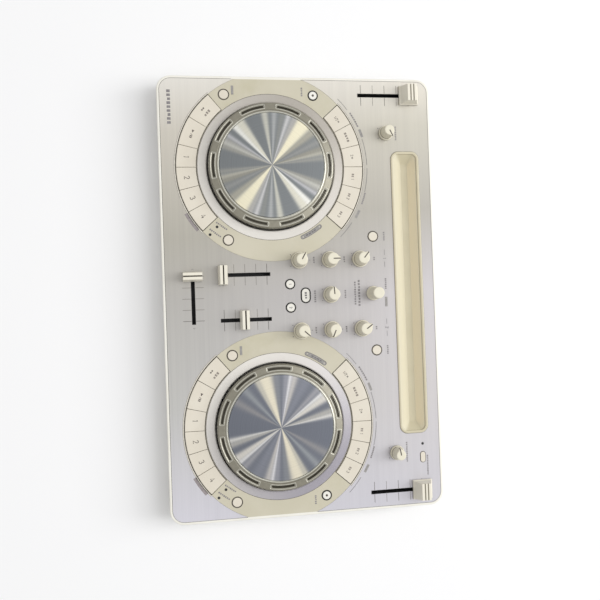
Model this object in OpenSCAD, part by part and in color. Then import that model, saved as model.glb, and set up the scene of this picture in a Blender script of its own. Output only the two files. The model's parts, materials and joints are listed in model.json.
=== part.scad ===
// Two-deck DJ controller: a shallow two-part case with two jog wheels, arcs of keys around
// them, a two-channel mixer between them and a tablet tray along the rear.
// Origin: centre of the footprint, on the plane that the feet stand on. +X is the user's
// right, +Y is the rear, +Z is up. Millimetres and degrees.

/* [Case] */
// Overall width
case_w = 403; // [402:0.5:408]
// Overall depth
case_d = 255; // [255:0.5:260]
// Corner radius of the case, seen from above
case_r = 13; // [11:0.5:16]
// Visible rim of the case around the metal face sheet
rim_w = 2.5; // [2:0.1:3.5]
// Height of the top face above the table
face_z = 28; // [28:0.5:32]
// Height at which the two case halves meet
split_z = 16; // [16:0.1:16.5]
// Wall thickness of both case halves
wall = 2.2; // [2:0.1:2.5]
// Thickness of the metal face sheet
sheet_t = 0.5; // [0.4:0.1:0.8]
// Height of the rubber feet
foot_h = 3; // [2.5:0.5:3.5]

/* [Decks] */
// Distance of each deck axis from the middle of the case
deck_x = 118.5; // [118:0.1:119]
// Position of the deck axes behind the middle of the case
deck_y = -26.3; // [-27:0.1:-26]
// Outer radius of the moulded ring that carries the round keys
surround_r = 86.3; // [86:0.1:86.4]
// Inner radius of the openings for the arc keys
arc_in_r = 67.5; // [67.3:0.1:67.7]
// Outer radius of the openings for the arc keys
arc_out_r = 86.5; // [86.4:0.1:87]
// Gap between an arc key and its opening
arc_gap = 0.65; // [0.4:0.05:0.8]
// Angle left free between neighbouring arc keys
arc_split = 0.34; // [0.25:0.01:0.5]
// Height of the arc keys above the face
arc_proud = 0.6; // [0.3:0.1:1]
// Travel of the arc keys
arc_travel = 0.8; // [0.5:0.1:0.8]

/* [Jog wheels] */
// Radius of the whole jog wheel
jog_r = 57.3; // [56.5:0.1:57.5]
// Radius of the metal disc on top
jog_disc_r = 47.8; // [46:0.1:48]
// Height of the metal disc above the face
jog_h = 10; // [9:0.5:12]
// Radius of the well that the wheel turns in
well_r = 58.9; // [58.5:0.1:59]
// Outer radius of the light ring around the well
ring_out_r = 66.9; // [66.7:0.05:66.9]
// Number of finger pockets
pockets = 10; // [6:1:12]
// Angle that one pocket spans
pocket_sweep = 26; // [15:1:27]

/* [Mixer] */
// Distance of the equaliser knobs from the middle
eq_x = 32.4; // [32:0.1:32.4]
// Position of the front row of equaliser knobs
eq_y = -3.1; // [-4:0.1:-3]
// Pitch of the equaliser knob rows
eq_pitch = 28.75; // [28:0.05:29]
// Distance of the channel faders from the middle
fader_x = 20.5; // [20:0.1:20.5]
// Middle of the channel fader travel
fader_y = -53.55; // [-55:0.05:-53]
// Travel of the channel faders and the crossfader
fader_travel = 40; // [30:1:40]
// Position of the crossfader
crossfader_y = -100.7; // [-102:0.1:-100]
// Distance of the tempo sliders from the middle
tempo_x = 185.5; // [184:0.1:186]
// Middle of the tempo slider travel
tempo_y = 83.5; // [82:0.1:84]
// Travel of the tempo sliders
tempo_travel = 46; // [40:1:46]
// Width of every slider slot
slot_w = 2.7; // [2.4:0.1:3]

/* [Knobs] */
// Skirt radius of the equaliser knobs
eq_knob_r = 7.7; // [7:0.1:8]
// Height of the equaliser knobs above the face
eq_knob_h = 17; // [14:0.5:18]
// Skirt radius of the microphone and master level knobs
level_knob_r = 6.8; // [6:0.1:7]
// Height of the level knobs above the face
level_knob_h = 14.5; // [12:0.5:16]
// Skirt radius of the browse knob
browse_knob_r = 6.7; // [6:0.1:7]
// Height of the browse knob above the face
browse_knob_h = 20.5; // [16:0.5:22]
// Radius of every control shaft
shaft_r = 3; // [2.5:0.1:3]

/* [Tablet tray] */
// Overall length of the tray's lip
tray_w = 265.4; // [250:0.2:266]
// Overall depth of the tray's lip, front to rear
tray_d = 27.2; // [26:0.2:27.2]
// Middle of the tray
tray_y = 101; // [100.5:0.1:101.5]
// Depth of the tray below the face
tray_depth = 8; // [6:0.2:8]
// Width of the lip that lies on the face
tray_lip = 2.5; // [2:0.1:3]
// Height of the lip above the face
tray_lip_h = 0.9; // [0.5:0.1:1.5]

/* [Hidden] */
$fn = 64;
CREAM = "#e4dcc2";
WHITE = "#efece4";
SILVER = "#cfcbc4";
GREY = "#807c70";
ALUMINIUM = "#c2c6c8";
STEEL = "#9a9da0";
BOARD = "#2f5d45";
RUBBER = "#2b2b2b";
eps = 0.01;
// How far a cutter stands past the face it cuts
over = 1;
// Gap between fixed pieces that touch
fit_gap = 0.05;

// Heights of the layers
sheet_z = face_z - sheet_t;
plate_t = 2.5;
plate_z = sheet_z - plate_t;
floor_t = 2.5;
floor_z = foot_h + floor_t;
chamfer = 3;
chamfer_h = 3.5;
io_board_z = floor_z + 0.4;
main_board_z = floor_z + 1.5;
board_t = 1.6;
panel_board_z = split_z - 1.4;
panel_board_top = panel_board_z + board_t;
switch_w = 6;
switch_h = 3.5;
plunger_h = 0.7;
plunger_r = 1.7;
plunger_top = panel_board_top + switch_h + plunger_h;

// Keys
key_travel = 0.5;
key_rest_gap = 0.1;
flange_gap = 0.3;
flange_t = 1.6;
flange_w = 1.4;
flange_top = plate_z - flange_gap;
key_r = 4.2;
lit_key_r = 4.5;
round_hole_r = 4.7;
lit_hole_r = 4.9;
key_proud = 0.5;
key_edge = 0.3;
key_flange_w = 1;
collar_w = 0.75;
collar_gap = 0.06;
collar_low = 0.2;
stem_r = 1.6;
arc_key_edge = 0.4;
arc_end = 0.3;

// Controls
shaft_gap = 0.05;
shaft_hole_r = shaft_r + 0.7;
shaft_end = 3;
pot_w = 11;
pot_h = 6.5;
pot_floor = 1;
lever_t = 1.3;
lever_l = 5.6;
lever_in_cap = 4;
lever_gap = 0.5;
slot_length = lever_l + lever_gap;
lever_low = panel_board_top + 2;
fader_body_w = 12;
fader_body_h = 7.4;
fader_body_end = 7;
cap_gap = 0.8;
knob_gap = 0.6;

// Jog wheel
bush_r = 5;
jog_shaft_r = 3;
jog_hub_r = 7;
jog_boss_r = 8.5;
jog_boss_top = 14;
bush_low = floor_z + 0.1;
bush_top = jog_boss_top + 0.2;

// Light ring: it stands higher along its inner edge
ring_seat_z = plate_z + 0.6;
ring_seat_w = 1.2;
ring_out_h = 0.2;
ring_in_h = 1.4;
ring_edge = 0.4;

// Tray
tray_r = 7.5;
tray_gap = 0.3;
tray_wall = 1.6;
tray_end_slope = 8;
tray_bottom_w = 4.9;

SIDES = [["left", -1], ["right", 1]];

// Arc keys: name, start angle, sweep; the same on both decks
ARC_KEYS = [
    ["cue_key", 220, 18], ["play_key", 238, 18],
    ["pad_1_key", 256, 14], ["pad_2_key", 270, 14], ["pad_3_key", 284, 14], ["pad_4_key", 298, 14],
    ["loop_half_key", 118, 14], ["loop_key", 104, 14], ["loop_double_key", 90, 14],
    ["fx_1_key", 76, 14], ["fx_2_key", 62, 14], ["fx_3_key", 48, 14]
];
// The two arcs of openings: start angle, sweep
ARCS = [[220, 92], [48, 84]];

// Round keys of one side: name, position, whether it has a light-shield collar
corner_x = 66.2;
corner_y = 41.2;
load_x = 53.2;
load_y = 67.5;
monitor_x = 10.75;
monitor_y = -12.4;
function deck_point(s, x, y) = [s * deck_x + x, deck_y + y];
function round_keys(s) = [
    ["shift_key", deck_point(s, -corner_x, -corner_y), false],
    ["mode_key", deck_point(s, corner_x, -corner_y), false],
    ["sync_key", deck_point(s, s * corner_x, corner_y), true],
    ["load_key", [s * load_x, load_y], false]
];
MONITOR_KEYS = [
    ["ch_a_monitor_key", [-monitor_x, monitor_y], true],
    ["ch_b_monitor_key", [monitor_x, monitor_y], true]
];
// Oval keys: name, position, length, width, corner collar
select_at = [0, 1.8];
select_size = [13.8, 8.6];
standby_at = [155.7, 108.6];
standby_size = [9.4, 4.4];
oval_gap = 0.45;

// Knobs: name, position, pointer angle clockwise from the rear, skirt radius, height, pointer
level_x = 150;
level_y = 83.3;
browse_y = 66;
KNOBS = [
    ["ch_a_high_knob", [-eq_x, eq_y + 2 * eq_pitch], -51, eq_knob_r, eq_knob_h, true],
    ["ch_a_mid_knob", [-eq_x, eq_y + eq_pitch], 0, eq_knob_r, eq_knob_h, true],
    ["ch_a_low_knob", [-eq_x, eq_y], -61, eq_knob_r, eq_knob_h, true],
    ["ch_b_high_knob", [eq_x, eq_y + 2 * eq_pitch], -36, eq_knob_r, eq_knob_h, true],
    ["ch_b_mid_knob", [eq_x, eq_y + eq_pitch], 114, eq_knob_r, eq_knob_h, true],
    ["ch_b_low_knob", [eq_x, eq_y], 42, eq_knob_r, eq_knob_h, true],
    ["phones_knob", [0, eq_y + eq_pitch], -94, eq_knob_r, eq_knob_h, true],
    ["mic_knob", [-level_x, level_y], 63, level_knob_r, level_knob_h, true],
    ["master_knob", [level_x, level_y], -100, level_knob_r, level_knob_h, true],
    ["browse_knob", [0, browse_y], 0, browse_knob_r, browse_knob_h, false]
];

// Sliders: name, middle of travel, rest offset from the middle, angle, travel, cap style
FADER = 0;
TEMPO = 1;
SLIDERS = [
    ["ch_a_fader", [-fader_x, fader_y], -fader_travel / 2, 0, fader_travel, FADER],
    ["ch_b_fader", [fader_x, fader_y], -1.45, 0, fader_travel, FADER],
    ["crossfader", [0, crossfader_y], fader_travel / 2, 90, fader_travel, FADER],
    ["left_tempo_slider", [-tempo_x, tempo_y], tempo_travel / 2, 0, tempo_travel, TEMPO],
    ["right_tempo_slider", [tempo_x, tempo_y], tempo_travel / 2, 0, tempo_travel, TEMPO]
];

// Indicator lamps: two by each mode key, one by the standby key
lamp_r = 1.2;
lamp_gap = 0.1;
LAMPS = concat([for (s = SIDES) for (p = [[54.1, -51], [61, -57.5]]) deck_point(s[1], p[0], p[1])],
               [[143.2, 108.7]]);

// Case fixings
screw_y = 118.4;
corner_screw_x = 190.5;
front_screw_x = 60;
rear_screw_x = 75;
SCREWS = concat([for (x = [corner_screw_x, rear_screw_x], s = [-1, 1]) [s * x, screw_y]],
                [for (x = [corner_screw_x, front_screw_x], s = [-1, 1]) [s * x, -screw_y]]);
FEET = [[-165, -100], [165, -100], [-165, 100], [165, 100], [0, -20]];
foot_r = 9;
foot_edge = 1;
screw_boss_r = 3.6;
screw_r = 1.45;
screw_gap = 0.25;
screw_head_r = 2.9;
screw_head_h = 1.8;
screw_head_gap = 0.2;
screw_seat_z = foot_h + 4;
screw_top = split_z + 7;
// Posts that hold the boards: up from the lower case, down from the upper one
pillar_r = 3;
MAIN_PILLARS = [[-40, -75], [40, -75], [-40, 45], [40, 45]];
IO_PILLARS = [[-110, 98], [0, 98], [110, 98]];
post_r = 2;
POSTS = [[42, 72], [30, -104], [22, -85], [146, 71], [166, 71]];
deck_post_r = 75;

// Sockets: x position, bore radius, access radius, body length and width, top of the body
socket_z = 11.5;
socket_top = split_z - 0.3;
// Distance of the socket mouths behind the inner face of the wall
socket_gap = 1.6;
socket_back = 2;
mic_socket = [-100, 3.25, 4.2, 26, 12, socket_top];
phones_socket = [-150, 1.8, 3.6, 14, 8, panel_board_z - 0.4];
LINE_SOCKETS = [[100, 1.6, 4.2, 16, 10, socket_top], [114, 1.6, 4.2, 16, 10, socket_top]];
usb_x = 40;
usb_size = [12, 14, 7.6];
usb_mouth = [8.2, 7.4];
usb_opening = [9.8, 8.2];

// Rows of vents in the floor
vent_y = 60;
vent_end = 75;
vent_pitch = 10;
vent_size = [24, 2.4];

// ---- Shared shapes ----

// A flat rounded rectangle between two heights
module rounded_block(w, d, r, low, high) {
    translate([0, 0, low]) linear_extrude(high - low) {
        square([w - 2 * r, d], center = true);
        square([w, d - 2 * r], center = true);
        for (x = [-1, 1], y = [-1, 1]) translate([x * (w / 2 - r), y * (d / 2 - r)]) circle(r);
    }
}

// A rounded block whose sides lean out by inset from bottom to top
module leaning_block(w, d, r, low, high, inset) {
    h = high - low;
    for (x = [-1, 1], y = [-1, 1]) translate([x * (w / 2 - r), y * (d / 2 - r), low])
        cylinder(h = h, r1 = r - inset, r2 = r);
    leaning_bar(w, d - 2 * r, low, h, inset);
    rotate([0, 0, 90]) leaning_bar(d, w - 2 * r, low, h, inset);
}

// A trapezium in the XZ plane, swept along Y
module leaning_bar(w, length, low, h, inset) {
    translate([0, length / 2, low]) rotate([90, 0, 0]) linear_extrude(length)
        polygon([[-w / 2 + inset, 0], [w / 2 - inset, 0], [w / 2, h], [-w / 2, h]]);
}

// A slot with round ends, long side along X
module oval(size, low, high) {
    r = size[1] / 2;
    translate([0, 0, low]) linear_extrude(high - low) {
        square([size[0] - 2 * r, size[1]], center = true);
        for (x = [-1, 1]) translate([x * (size[0] / 2 - r), 0]) circle(r);
    }
}

// A stretch of a ring around the origin
module arc_band(r_in, r_out, low, high, start = 0, sweep = 360) {
    rotate([0, 0, start]) rotate_extrude(angle = sweep)
        translate([r_in, low]) square([r_out - r_in, high - low]);
}

module at_deck(s) translate([s * deck_x, deck_y, 0]) children();

module post(at, r, low, high) translate([at[0], at[1], low]) cylinder(h = high - low, r = r);

// ---- Case ----

// Everything that is cut through both the face sheet and the plate under it
module face_cuts(low, high) {
    for (s = SIDES) for (k = round_keys(s[1])) post(k[1], k[2] ? lit_hole_r : round_hole_r, low, high);
    for (k = MONITOR_KEYS) post(k[1], lit_hole_r, low, high);
    translate(select_at) oval(select_size + 2 * oval_gap * [1, 1], low, high);
    translate(standby_at) oval(standby_size + 2 * oval_gap * [1, 1], low, high);
    for (k = KNOBS) post(k[1], shaft_hole_r, low, high);
    for (k = SLIDERS) translate(k[1]) rotate([0, 0, k[3] + 90])
        oval([k[4] + slot_length, slot_w], low, high);
    for (p = LAMPS) post(p, lamp_r + lamp_gap, low, high);
    translate([0, tray_y, 0])
        rounded_block(tray_w - 2 * tray_lip + 2 * tray_gap, tray_d - 2 * tray_lip + 2 * tray_gap,
                      tray_r - tray_lip + tray_gap, low, high);
}

module top_case() color(CREAM) difference() {
    union() {
        difference() {
            rounded_block(case_w, case_d, case_r, split_z, face_z);
            rounded_block(case_w - 2 * wall, case_d - 2 * wall, case_r - wall, split_z - eps, plate_z);
        }
        for (p = SCREWS) post(p, screw_boss_r, split_z, plate_z + eps);
        board_posts();
    }
    // Recess for the face sheet, left standing at the two decks
    difference() {
        rounded_block(case_w - 2 * rim_w, case_d - 2 * rim_w, case_r - rim_w, sheet_z, face_z + eps);
        for (s = SIDES) at_deck(s[1]) cylinder(h = face_z + over, r = surround_r);
    }
    face_cuts(plate_z - eps, face_z + eps);
    for (s = SIDES) at_deck(s[1]) deck_cuts();
    for (p = SCREWS) post(p, screw_r + fit_gap, split_z - eps, screw_top + over);
}

module deck_cuts() {
    translate([0, 0, plate_z - eps]) cylinder(h = plate_t + over, r = well_r + ring_seat_w);
    translate([0, 0, ring_seat_z]) cylinder(h = plate_t + over, r = ring_out_r + fit_gap);
    for (a = ARCS)
        arc_band(arc_in_r, arc_out_r, plate_z - eps, face_z + eps, a[0] - arc_end, a[1] + 2 * arc_end);
}

module board_posts() {
    for (s = SIDES, a = [40, 140, 90 - s[1] * 90])
        at_deck(s[1]) rotate([0, 0, a]) post([deck_post_r, 0], post_r, panel_board_top, plate_z + eps);
    for (s = [-1, 1], p = POSTS) post([s * p[0], p[1]], post_r, panel_board_top, plate_z + eps);
}

module bottom_case() color(WHITE) {
    difference() {
        union() {
            difference() {
                bottom_outside();
                rounded_block(case_w - 2 * wall, case_d - 2 * wall, case_r - wall, floor_z, split_z + eps);
            }
            lap_lip();
            for (p = SCREWS) post(p, screw_boss_r, floor_z - eps, split_z);
            for (s = SIDES) at_deck(s[1]) post([0, 0], jog_boss_r, floor_z - eps, jog_boss_top);
            for (p = MAIN_PILLARS) post(p, pillar_r, floor_z - eps, main_board_z);
            for (p = IO_PILLARS) post(p, pillar_r, floor_z - eps, io_board_z);
        }
        for (p = SCREWS) {
            post(p, screw_head_r + screw_head_gap, foot_h - eps, screw_seat_z);
            post(p, screw_r + screw_gap, foot_h, split_z + eps);
        }
        for (s = SIDES) at_deck(s[1]) post([0, 0], bush_r, floor_z, jog_boss_top + eps);
        socket_openings();
        vents();
    }
    for (s = SIDES) at_deck(s[1])
        arc_band(jog_shaft_r + shaft_gap, bush_r - fit_gap, bush_low, bush_top);
}

// The outside of the lower half, chamfered along the bottom
module bottom_outside() {
    leaning_block(case_w, case_d, case_r, foot_h, foot_h + chamfer_h, chamfer);
    rounded_block(case_w, case_d, case_r, foot_h + chamfer_h - eps, split_z);
}

// The lip that locates the upper half: joined to the wall below the split, clear of it above
lap_h = 2;
lap_t = 1;
lap_gap = 0.15;
module lap_lip() {
    inner = wall + lap_gap + lap_t;
    difference() {
        union() {
            lap_block(wall - lap_t / 2, split_z - lap_h, split_z);
            lap_block(wall + lap_gap, split_z - eps, split_z + lap_h);
        }
        lap_block(inner, split_z - lap_h - eps, split_z + lap_h + eps);
    }
}

module lap_block(inset, low, high)
    rounded_block(case_w - 2 * inset, case_d - 2 * inset, case_r - inset, low, high);

module vents() {
    for (x = [-vent_end:vent_pitch:vent_end]) translate([x, vent_y, foot_h - eps]) rotate([0, 0, 90])
        oval(vent_size, 0, floor_t + over);
}

// A hole through the front (side = -1) or rear (side = 1) wall, along Y
module wall_bore(x, z, r, side) {
    translate([x, side * case_d / 2, z]) rotate([90, 0, 0]) cylinder(h = 4 * wall, r = r, center = true);
}

module socket_openings() {
    wall_bore(mic_socket[0], socket_z, mic_socket[2], 1);
    wall_bore(phones_socket[0], socket_z, phones_socket[2], -1);
    for (k = LINE_SOCKETS) wall_bore(k[0], socket_z, k[2], 1);
    translate([usb_x, case_d / 2, socket_z])
        cube([usb_opening[0], 4 * wall, usb_opening[1]], center = true);
}

module face_plate() color(SILVER) difference() {
    out = rim_w + 2 * fit_gap;
    rounded_block(case_w - 2 * out, case_d - 2 * out, case_r - out, sheet_z, face_z);
    for (s = SIDES) at_deck(s[1]) cylinder(h = face_z + over, r = arc_out_r);
    face_cuts(sheet_z - eps, face_z + eps);
}

module light_rings() color(WHITE) for (s = SIDES) at_deck(s[1])
    rotate_extrude() polygon([
        [well_r, ring_seat_z], [ring_out_r, ring_seat_z], [ring_out_r, face_z],
        [ring_out_r - ring_edge, face_z + ring_out_h], [well_r + 2 * ring_edge, face_z + ring_in_h],
        [well_r, face_z + ring_in_h - ring_edge]
    ]);

// ---- Tablet tray ----

module tablet_tray() color(CREAM) translate([0, tray_y, 0]) {
    in_w = tray_w - 2 * tray_lip;
    in_d = tray_d - 2 * tray_lip;
    in_r = tray_r - tray_lip;
    top = face_z + tray_lip_h;
    difference() {
        union() {
            rounded_block(tray_w, tray_d, tray_r, face_z, top);
            rounded_block(in_w, in_d, in_r, face_z - tray_depth - tray_wall, top - eps);
        }
        intersection() {
            rounded_block(in_w - 2 * tray_gap, in_d - 2 * tray_gap, in_r - tray_gap,
                          face_z - tray_depth, top + eps);
            tray_trough(in_w - 2 * tray_gap, in_d - 2 * tray_gap, top + eps);
        }
    }
}

// The hollow: a long front slope, a flat bottom, a steep rear wall and sloping ends
module tray_trough(w, d, top) {
    low = face_z - tray_depth;
    brim = face_z - 0.8;
    blend = 0.5;
    wall_foot = tray_bottom_w + 1.5;
    wall_head = d / 2 - 1.4;
    intersection() {
        rotate([90, 0, 90]) translate([0, 0, -w / 2]) linear_extrude(w) polygon([
            [-d / 2, top], [-d / 2, brim], [-2, low + blend], [0, low], [tray_bottom_w, low],
            [wall_foot, low + blend], [wall_head, brim], [d / 2, face_z], [d / 2, top]
        ]);
        translate([0, d / 2, 0]) rotate([90, 0, 0]) linear_extrude(d) polygon([
            [-w / 2, top], [-w / 2, brim], [-w / 2 + tray_end_slope, low],
            [w / 2 - tray_end_slope, low], [w / 2, brim], [w / 2, top]
        ]);
    }
}

// ---- Electronics ----

module circuit_boards() color(BOARD) {
    mixer_board();
    for (s = SIDES) {
        deck_board(s[1]);
        side_board(s[1]);
    }
    main_board();
    io_board();
}

// A push switch whose plunger stands under a key at the given point
module tact_switch(at) translate([at[0], at[1], panel_board_top - eps]) {
    translate([-switch_w / 2, -switch_w / 2, 0]) cube([switch_w, switch_w, switch_h]);
    cylinder(h = switch_h + plunger_h + eps, r = plunger_r);
}

module pot(at) difference() {
    translate([at[0] - pot_w / 2, at[1] - pot_w / 2, panel_board_top - eps]) cube([pot_w, pot_w, pot_h]);
    post(at, shaft_r + shaft_gap, panel_board_top + pot_floor, panel_board_top + pot_h + over);
}

module slider_body(k) translate(k[1]) rotate([0, 0, k[3]]) difference() {
    length = k[4] + 2 * fader_body_end;
    translate([-fader_body_w / 2, -length / 2, panel_board_top - eps])
        cube([fader_body_w, length, fader_body_h]);
    rotate([0, 0, 90]) oval([k[4] + slot_length, slot_w], lever_low - lever_gap, plate_z);
}

module lamp(at) post(at, lamp_r, panel_board_top - eps, face_z);

// A board given as its left, right, front and rear edges
module board(edges, low = panel_board_z) translate([edges[0], edges[2], low])
    cube([edges[1] - edges[0], edges[3] - edges[2], board_t]);

// The mixer board is one cross-shaped sheet, narrow between the two decks
MIXER_SHEET = [[-27.5, 27.5, -112, 60], [-34, 34, -112, -90], [-37.9, 37.9, -14, 84], [-60, 60, 60, 84]];
mixer_reach = 60;
module mixer_board() {
    for (b = MIXER_SHEET) board(b);
    for (k = KNOBS) if (abs(k[1][0]) < mixer_reach) pot(k[1]);
    for (k = SLIDERS) if (abs(k[1][0]) < mixer_reach) slider_body(k);
    for (k = MONITOR_KEYS) tact_switch(k[1]);
    tact_switch(select_at);
    for (s = [-1, 1]) tact_switch([s * load_x, load_y]);
}

// The deck board: a ring with a gap for the mixer board, its outer side cut straight by the case
deck_board_in = 61.5;
deck_board_out = 88.5;
deck_board_sweep = 310;
deck_board_edge = 197.5 - deck_x;
arc_mid_r = (arc_in_r + arc_out_r) / 2;
sensor_r = 36;
sensor_size = [6, 5, 3];
led_size = [2.8, 3.4, 1.5];
module deck_board(s) {
    start = 90 + s * 90 + (360 - deck_board_sweep) / 2;
    inward = 2 * deck_board_out;
    at_deck(s) {
        intersection() {
            arc_band(deck_board_in, deck_board_out, panel_board_z, panel_board_top, start, deck_board_sweep);
            translate([s * (deck_board_edge - inward) - inward, -inward, 0])
                cube([2 * inward, 2 * inward, face_z]);
        }
        translate([-switch_w, sensor_r - switch_w, panel_board_z])
            cube([2 * switch_w, deck_board_in - sensor_r + 2 * switch_w, board_t]);
        translate([-sensor_size[0] / 2, sensor_r - sensor_size[1] / 2, panel_board_top - eps])
            cube(sensor_size);
        for (k = ARC_KEYS) rotate([0, 0, k[1] + k[2] / 2]) tact_switch([arc_mid_r, 0]);
        for (a = [45:45:315]) rotate([0, 0, 90 + s * 90 + a])
            translate([deck_board_in + 0.5, -led_size[1] / 2, panel_board_top - eps]) cube(led_size);
    }
    for (k = round_keys(s)) if (k[0] != "load_key") tact_switch(k[1]);
    for (p = LAMPS) if (sign(p[0]) == s && p[1] < 0) lamp(p);
}

// The level knob and tempo slider boards of one side: one sheet in two strips
SIDE_SHEET = [[139, 171, 68, 116], [170, 192, 68, 112], [179, 192, 50, 114.3]];
module side_board(s) {
    for (b = SIDE_SHEET) board(s > 0 ? b : [-b[1], -b[0], b[2], b[3]]);
    pot([s * level_x, level_y]);
    for (k = SLIDERS) if (k[5] == TEMPO && sign(k[1][0]) == s) slider_body(k);
    if (s > 0) {
        tact_switch(standby_at);
        lamp(LAMPS[len(LAMPS) - 1]);
    }
}

// The main board: position and size of each chip, then a row of capacitors
MAIN_SHEET = [-55, 55, -85, 55];
CHIPS = [[[-12, -30], [18, 18, 1.6]], [[14, 0], [10, 8, 1.4]], [[-34, 8], [12, 12, 1.5]]];
CAPACITORS = [for (x = [-40:12:32]) [x, -66]];
capacitor_r = 2.5;
capacitor_h = 5;
module main_board() {
    top = main_board_z + board_t;
    board(MAIN_SHEET, main_board_z);
    for (c = CHIPS) translate([c[0][0], c[0][1], top - eps]) cube(c[1]);
    for (p = CAPACITORS) post(p, capacitor_r, top - eps, top + capacitor_h);
}

// A socket body on the front or rear wall, with its bore along Y
module socket(k, side) {
    mouth = side * (case_d / 2 - wall - socket_gap);
    low = io_board_z + board_t - eps;
    difference() {
        translate([k[0] - k[4] / 2, side > 0 ? mouth - k[3] : mouth, low])
            cube([k[4], k[3], k[5] - low]);
        translate([k[0], mouth, socket_z]) rotate([90, 0, 0])
            cylinder(h = 2 * (k[3] - socket_back), r = k[1], center = true);
    }
}

IO_SHEET = [-116, 124, 92, 114];
PHONES_SHEET = [-158, -142, -121, -104];
module io_board() {
    board(IO_SHEET, io_board_z);
    board(PHONES_SHEET, io_board_z);
    socket(mic_socket, 1);
    socket(phones_socket, -1);
    for (k = LINE_SOCKETS) socket(k, 1);
    usb_y = case_d / 2 - wall - socket_gap;
    usb_z = io_board_z + board_t - eps;
    difference() {
        translate([usb_x - usb_size[0] / 2, usb_y - usb_size[1], usb_z])
            cube([usb_size[0], usb_size[1], socket_top - usb_z]);
        translate([usb_x - usb_mouth[0] / 2, usb_y - usb_size[1] + socket_back, socket_z - usb_mouth[1] / 2])
            cube([usb_mouth[0], usb_size[1], usb_mouth[1]]);
    }
}

// ---- Feet and screws ----

module screw_feet() {
    color(RUBBER) for (p = FEET) translate([p[0], p[1], 0]) {
        cylinder(h = foot_edge, r1 = foot_r - foot_edge, r2 = foot_r);
        translate([0, 0, foot_edge - eps]) cylinder(h = foot_h - foot_edge, r = foot_r);
    }
    color(STEEL) for (p = SCREWS) {
        post(p, screw_head_r, screw_seat_z - screw_head_h, screw_seat_z - fit_gap);
        post(p, screw_r, screw_seat_z - 2 * fit_gap, screw_top);
    }
}

// ---- Jog wheels ----

encoder_r = 40;
encoder_z = panel_board_top + 4;
encoder_t = 1;
encoder_slots = 36;
encoder_slot = [4, 2.4];
encoder_rim = 2;
disc_t = 1.25;
disc_edge = 0.5;
carrier_z = face_z + jog_h - disc_t - fit_gap;
carrier_t = 5;
rim_z = carrier_z + 0.6;
rim_in = jog_disc_r + 0.3;
rim_out = jog_disc_r + 1.4;
skirt_z = face_z - 1.2;
skirt_t = 2;
pocket_z = carrier_z - 2.6;
pocket_in = jog_disc_r + 3.9;
pocket_out = jog_r - 1.7;
shoulder_w = 0.9;
shoulder_h = 2.2;
// Angle of the middle of the first pocket on each wheel
left_pocket = 90;
right_pocket = 108;
module jog_wheel(s) at_deck(s) {
    hub_z = jog_boss_top + 0.4;
    bore = jog_shaft_r + fit_gap;
    web_z = carrier_z - carrier_t;
    color(GREY) difference() {
        rotate_extrude() polygon([
            [bore, hub_z], [jog_hub_r, hub_z], [jog_hub_r, web_z], [jog_r - skirt_t, web_z],
            [jog_r - skirt_t, skirt_z], [jog_r, skirt_z], [jog_r, carrier_z - shoulder_h],
            [jog_r - shoulder_w, carrier_z - shoulder_w], [rim_out, rim_z], [rim_in, rim_z],
            [rim_in, carrier_z], [bore, carrier_z]
        ]);
        first = (s < 0 ? left_pocket : right_pocket) - pocket_sweep / 2;
        for (i = [0:pockets - 1])
            arc_band(pocket_in, pocket_out, pocket_z, rim_z + over, first + i * 360 / pockets, pocket_sweep);
    }
    color(ALUMINIUM) translate([0, 0, carrier_z + fit_gap]) {
        cylinder(h = disc_t - disc_edge, r = jog_disc_r);
        translate([0, 0, disc_t - disc_edge - eps])
            cylinder(h = disc_edge + eps, r1 = jog_disc_r, r2 = jog_disc_r - disc_edge);
    }
    color(STEEL) post([0, 0], jog_shaft_r, floor_z + 0.6, carrier_z - fit_gap);
    color(RUBBER) difference() {
        arc_band(jog_hub_r + fit_gap, encoder_r, encoder_z, encoder_z + encoder_t);
        for (i = [0:encoder_slots - 1]) rotate([0, 0, i * 360 / encoder_slots])
            translate([encoder_r - encoder_rim - encoder_slot[0], -encoder_slot[1] / 2, encoder_z - eps])
                cube([encoder_slot[0], encoder_slot[1], encoder_t + 2 * eps]);
    }
}

// ---- Keys ----

module arc_key(s, k) color(CREAM) at_deck(s) {
    start = k[1] + arc_split / 2;
    sweep = k[2] - arc_split;
    r_in = arc_in_r + arc_gap;
    r_out = arc_out_r - arc_gap;
    top = face_z + arc_proud;
    rotate([0, 0, start]) rotate_extrude(angle = sweep) polygon([
        [arc_in_r - flange_w, flange_top - flange_t], [arc_out_r + flange_w, flange_top - flange_t],
        [arc_out_r + flange_w, flange_top], [r_out, flange_top],
        [r_out, top - arc_key_edge], [r_out - arc_key_edge, top],
        [r_in + arc_key_edge, top], [r_in, top - arc_key_edge],
        [r_in, flange_top], [arc_in_r - flange_w, flange_top]
    ]);
    rotate([0, 0, k[1] + k[2] / 2]) key_stem([arc_mid_r, 0], arc_travel);
}

// The stem ends just above the switch plunger, so the key can move its whole travel
module key_stem(at, travel) {
    post(at, stem_r, plunger_top + travel + key_rest_gap, flange_top - flange_t + eps);
}

module round_key(k) {
    r = k[2] ? lit_key_r : key_r;
    top = face_z + key_proud;
    cap_r = k[2] ? r - collar_w - collar_gap : r;
    color(CREAM) {
        post(k[1], cap_r, flange_top - eps, top - key_edge);
        translate([k[1][0], k[1][1], top - key_edge - eps])
            cylinder(h = key_edge + eps, r1 = cap_r, r2 = cap_r - key_edge);
        post(k[1], r + key_flange_w, flange_top - flange_t, flange_top);
        key_stem(k[1], key_travel);
    }
    if (k[2]) color(RUBBER) translate([k[1][0], k[1][1], 0])
        arc_band(r - collar_w, r, flange_top + fit_gap, top - collar_low);
}

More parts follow.
